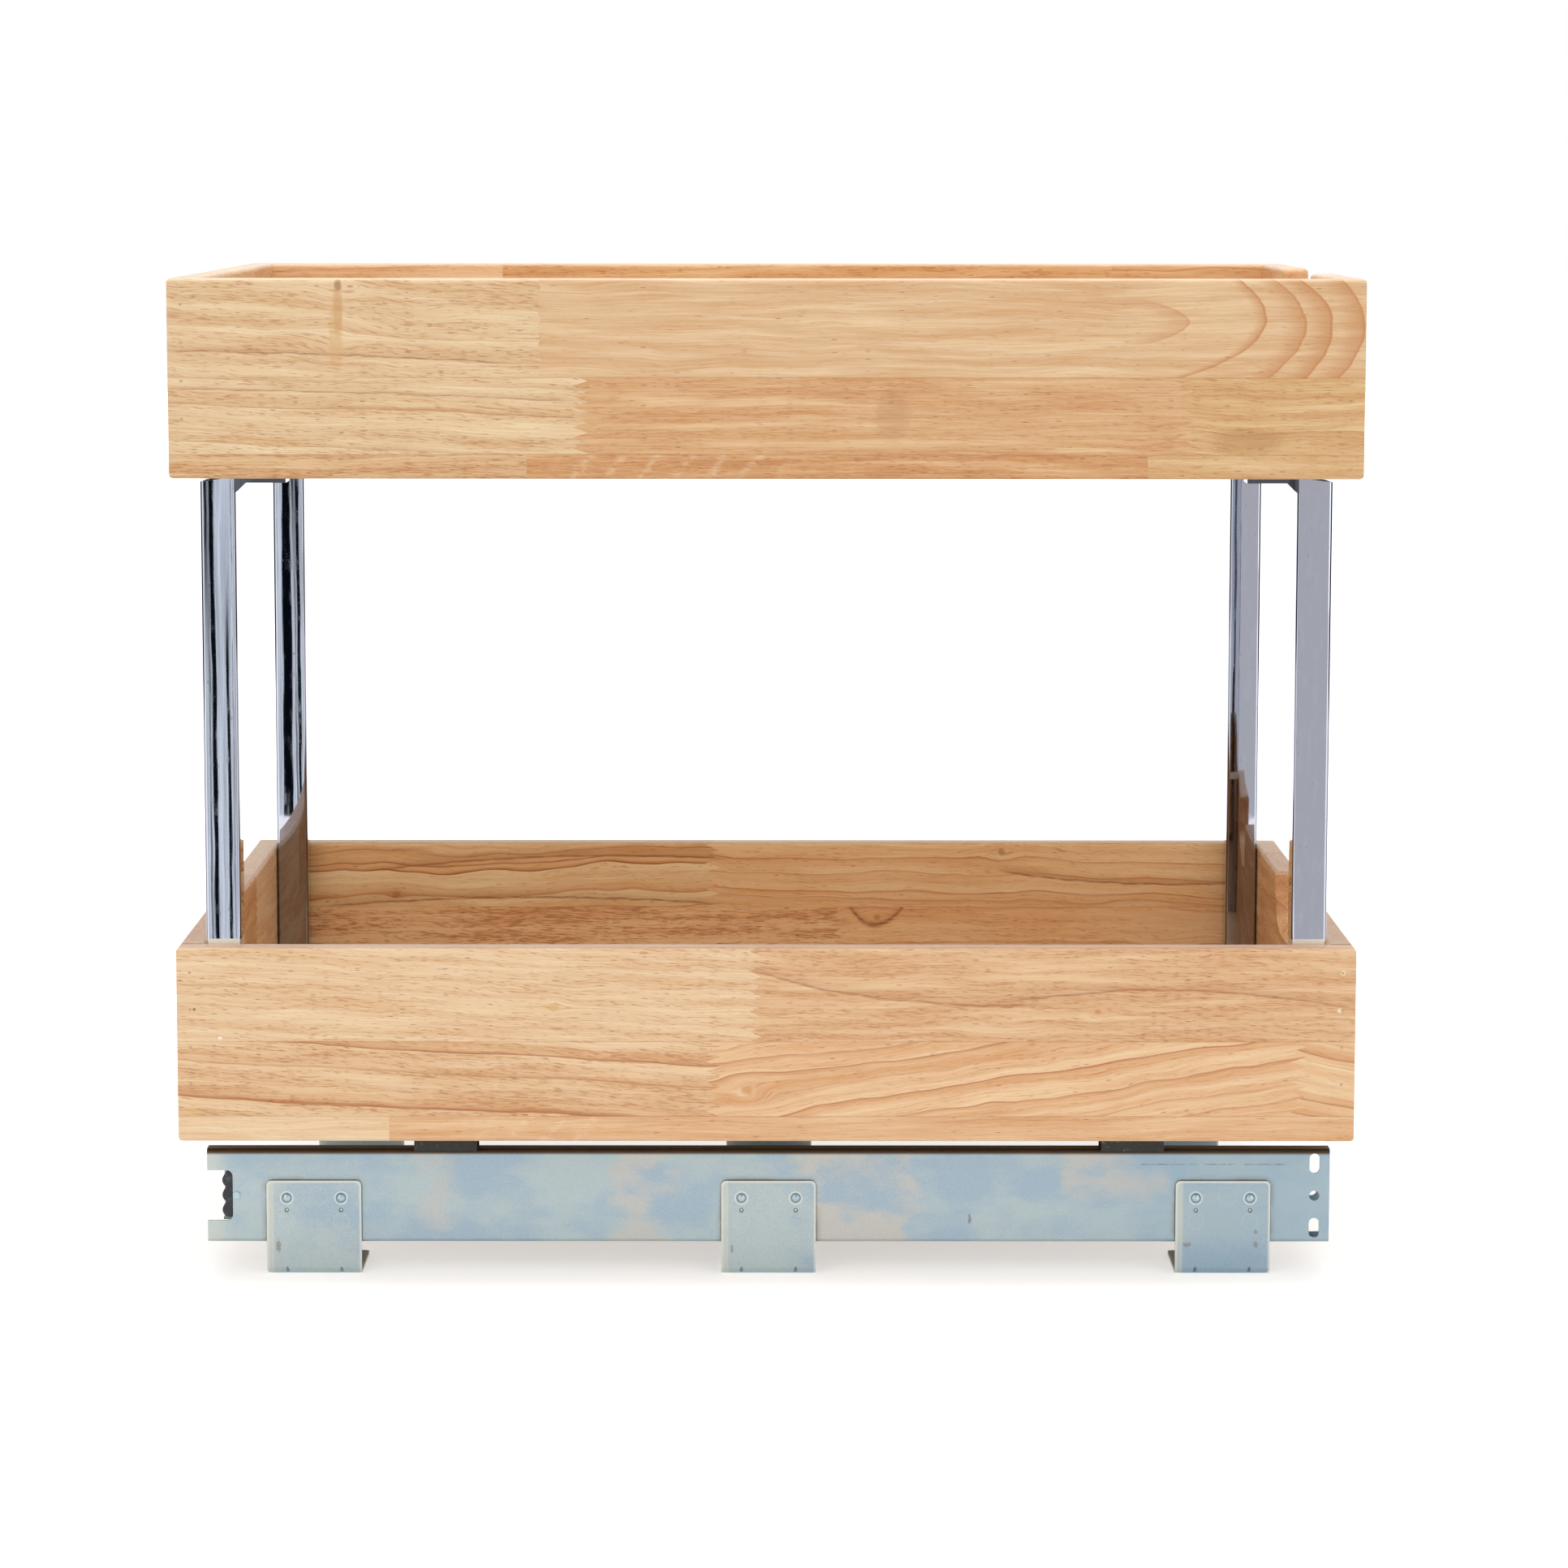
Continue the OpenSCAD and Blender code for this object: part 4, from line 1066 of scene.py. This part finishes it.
def finish_wood():
    """The ten boards."""
    floor = plywood("floor plywood")
    walls = {
        "upper_left_side": upper_near_wall(),
        "lower_left_side": lower_near_wall(),
        "lower_right_side": lower_far_wall(),
        "upper_right_side": plain_wall("upper far wall wood", UPPER_BASE, False, 5),
        "upper_front": plain_wall("upper front wood", UPPER_BASE, True, 8),
        "upper_back": plain_wall("upper back wood", UPPER_BASE, True, 13),
        "lower_front": plain_wall("lower front wood", LOWER_BASE, True, 21),
        "lower_back": plain_wall("lower back wood", LOWER_BASE, True, 34),
        "upper_floor": floor,
        "lower_floor": floor,
    }
    for node, material in walls.items():
        dress(node, material)
    filler = wood_filler()
    for tier in ("lower", "upper"):
        dress(f"{tier}_brads", filler)


def finish_metal():
    """Posts, slides, brackets, carriers and fasteners."""
    finishes = {
        "chrome_post": chrome(),
        "zinc_steel": zinc_slide(),
        "bracket_steel": zinc_bracket(),
        "carrier_steel": black_steel(),
        "cage_steel": yellow_zinc(),
        "rivet_steel": zinc_rivet(),
        "screw_steel": screw_steel(),
        "bumper_rubber": rubber(),
    }
    balls = bearing_steel()
    made_new = []
    for side in ("left", "right"):
        for row in ("outer", "inner"):
            bearing_balls(side, row, balls)
            made_new.append(f"{side}_{row}_balls")
        bracket_rivets(side, finishes["rivet_steel"])
        made_new.append(f"{side}_bracket_rivets")
    for node, slot in slot_of.items():
        if slot in finishes and node not in made_new:
            dress(node, finishes[slot])


# ---- Stage ----


def sheet(name, low, high, material):
    """A flat stage sheet between two corners that share a plane."""
    (x0, y0, z0), (x1, y1, z1) = low, high
    if z0 == z1:
        outline = [(x0, y0, z0), (x1, y0, z0), (x1, y1, z0), (x0, y1, z0)]
    else:
        outline = [(x0, y0, z0), (x1, y1, z0), (x1, y1, z1), (x0, y0, z1)]
    mesh = bpy.data.meshes.new(name)
    mesh.from_pydata([Vector(point) * MM for point in outline], [], [(0, 1, 2, 3)])
    mesh.materials.append(material)
    piece = linked(name, mesh)
    return piece


def floor_material():
    """Pale floor that keeps the object's shadow and meets the white background."""
    paint = Paint("studio floor")
    x, y, _ = paint.place()
    cloud = paint.noise(x / 400, y / 400, 0.0)
    tone = paint.mix(cloud, (0.89, 0.89, 0.89), (0.91, 0.91, 0.91))
    matt = paint.node("ShaderNodeBsdfDiffuse", inputs={"Color": tone})
    away = (x * x + y * y) ** 0.5
    strength = 0.5 + 0.6 * paint.ease(away, 450, 1500)
    glow = paint.node("ShaderNodeEmission", inputs={"Color": (1, 1, 1), "Strength": strength})
    lifted = paint.node("ShaderNodeAddShader", inputs=[matt, glow])
    path = paint.node("ShaderNodeLightPath", output="Is Camera Ray")
    sees = path.at_least(path.out("Is Glossy Ray"))
    return paint.close(paint.node("ShaderNodeMixShader", inputs=[sees, matt, lifted]))


def only_mirrored(piece):
    """Leaves a stage sheet to the reflections in polished metal."""
    piece.visible_camera = False
    piece.visible_diffuse = False
    piece.visible_shadow = False
    piece.visible_transmission = False


def striped_card():
    """An upright card in front of the object, white with dark stripes, which the posts mirror."""
    paint = Paint("striped card")
    x, _, z = paint.place()
    edge = x + paint.noise(x / 60, z / 30, 0.0, detail=3) * 8 - 4
    high = paint.ease(z, 120, 290)
    tip = paint.ease(z, 280, 190)
    fold = paint.noise(x / 5, z / 150, 3.0, detail=2)
    tone = paint.mix(paint.ease(fold, 0.35, 0.7), (1.45, 1.55, 1.6), (0.75, 0.79, 0.86))
    tone = paint.mix(paint.ease(x, -280, -200), tone, (0.88, 0.87, 0.89))

    # The first stripe shows on the far left post, and the others show on the near left one
    for share in (
        paint.band(edge, -484, -428, 2),
        paint.ease(edge + high * 7, -397, -391) * paint.ease(edge, -374, -377),
        paint.band(edge, -409, -401, 2) * (0.75 - 0.35 * high),
        paint.ease(abs(edge + 327) - tip * 6.5, 1, -1) * tip,
        paint.ease(edge, -404, -412) * high * paint.ease(edge, -424, -418),
        paint.band(edge, -308, -305, 1) * 0.8,
    ):
        tone = paint.mix(share, tone, (0.004, 0.006, 0.011))
    grey = paint.band(edge, 252, 262, 1) + paint.band(edge, 266, 278, 1)
    tone = paint.mix(grey * 0.6, tone, (0.08, 0.08, 0.09))
    return paint.close(paint.node("ShaderNodeEmission", inputs={"Color": tone, "Strength": 1.0}))


def dark_panel():
    """Black cloth of the panels at both sides, which draws the dark lines on the posts' corners."""
    paint = Paint("black cloth")
    x, y, z = paint.place()
    fold = paint.noise(x / 200, y / 200, z / 600)
    tone = paint.mix(fold, (0.01, 0.01, 0.012), (0.05, 0.05, 0.055))
    return paint.close(paint.node("ShaderNodeEmission", inputs={"Color": tone, "Strength": 1.0}))


FLOOR_HALF = 9000
CARD_Y = -1170.0
CARD_HALF = 560
CARD_TOP = 430
PANEL_X = 2600
PANEL_HALF = 1500
PANEL_TOP = 1800
SHEET_FOOT = 0.5  # the upright sheets end this far above the floor


def set_sheets():
    """The floor, and the upright sheets that the posts mirror."""
    sheet("floor", (-FLOOR_HALF, -FLOOR_HALF, 0.0), (FLOOR_HALF, FLOOR_HALF, 0.0), floor_material())
    card_foot = (-CARD_HALF, CARD_Y, SHEET_FOOT)
    only_mirrored(sheet("striped_card", card_foot, (CARD_HALF, CARD_Y, CARD_TOP), striped_card()))
    cloth = dark_panel()
    for x in (-PANEL_X, PANEL_X):
        panel_foot = (x, -PANEL_HALF, SHEET_FOOT)
        only_mirrored(sheet(f"side_panel_{x}", panel_foot, (x, PANEL_HALF, PANEL_TOP), cloth))


def set_world():
    """White where the camera, a mirror or glass looks, and a dimmer light on the object."""
    paint = Paint("studio", "worlds")
    path = paint.node("ShaderNodeLightPath", output="Is Camera Ray")
    seen_rays = path + path.out("Is Glossy Ray")
    settings = {"operation": "ADD", "use_clamp": True}
    all_rays = paint.node("ShaderNodeMath", settings, [seen_rays, path.out("Is Transmission Ray")])
    strength = paint.node("ShaderNodeMapRange", inputs={"Value": all_rays, "To Min": 0.56})
    white = paint.node("ShaderNodeBackground", inputs={"Color": (1, 1, 1), "Strength": strength})
    bpy.context.scene.world = paint.close(white, "ShaderNodeOutputWorld")


LAMP_TARGET = Vector((0, 0, 250))


def lamp(name, place, size, power):
    """A square soft box that points at the middle of the object."""
    data = bpy.data.lights.new(name, "AREA")
    data.size = size * MM
    data.energy = power
    aim = LAMP_TARGET - Vector(place)
    turn = aim.to_track_quat("-Z", "Y").to_matrix().to_4x4()
    linked(name, data).matrix_world = Matrix.Translation(Vector(place) * MM) @ turn


def set_lamps():
    """Two soft boxes in front, and one overhead."""
    lamp("key", (-1300, -2700, 1000), 1500, 12.2)
    lamp("fill", (1600, -2400, 800), 1500, 7.5)
    lamp("top", (0, -500, 2600), 1800, 32)


CAMERA_PLACE = Vector((2.24, -2363.7, 509.2))
CAMERA_LENS = 112.39
CAMERA_PAN = -0.148  # degrees, as the next two are
CAMERA_DIP = 7.144
CAMERA_ROLL = 0.054


def set_camera():
    """The photograph's viewing angle: from the front, a little above, through a long lens."""
    data = bpy.data.cameras.new("camera")
    data.sensor_width = 36
    data.lens = CAMERA_LENS
    data.clip_end = 100
    turn = (
        Matrix.Rotation(math.radians(CAMERA_PAN), 4, "Z")
        @ Matrix.Rotation(math.radians(90 - CAMERA_DIP), 4, "X")
        @ Matrix.Rotation(math.radians(CAMERA_ROLL), 4, "Z")
    )
    holder = linked("camera", data)
    holder.matrix_world = Matrix.Translation(CAMERA_PLACE * MM) @ turn
    bpy.context.scene.camera = holder


finish_wood()
finish_metal()
set_sheets()
set_world()
set_lamps()
set_camera()

bpy.context.scene.view_settings.view_transform = "Standard"
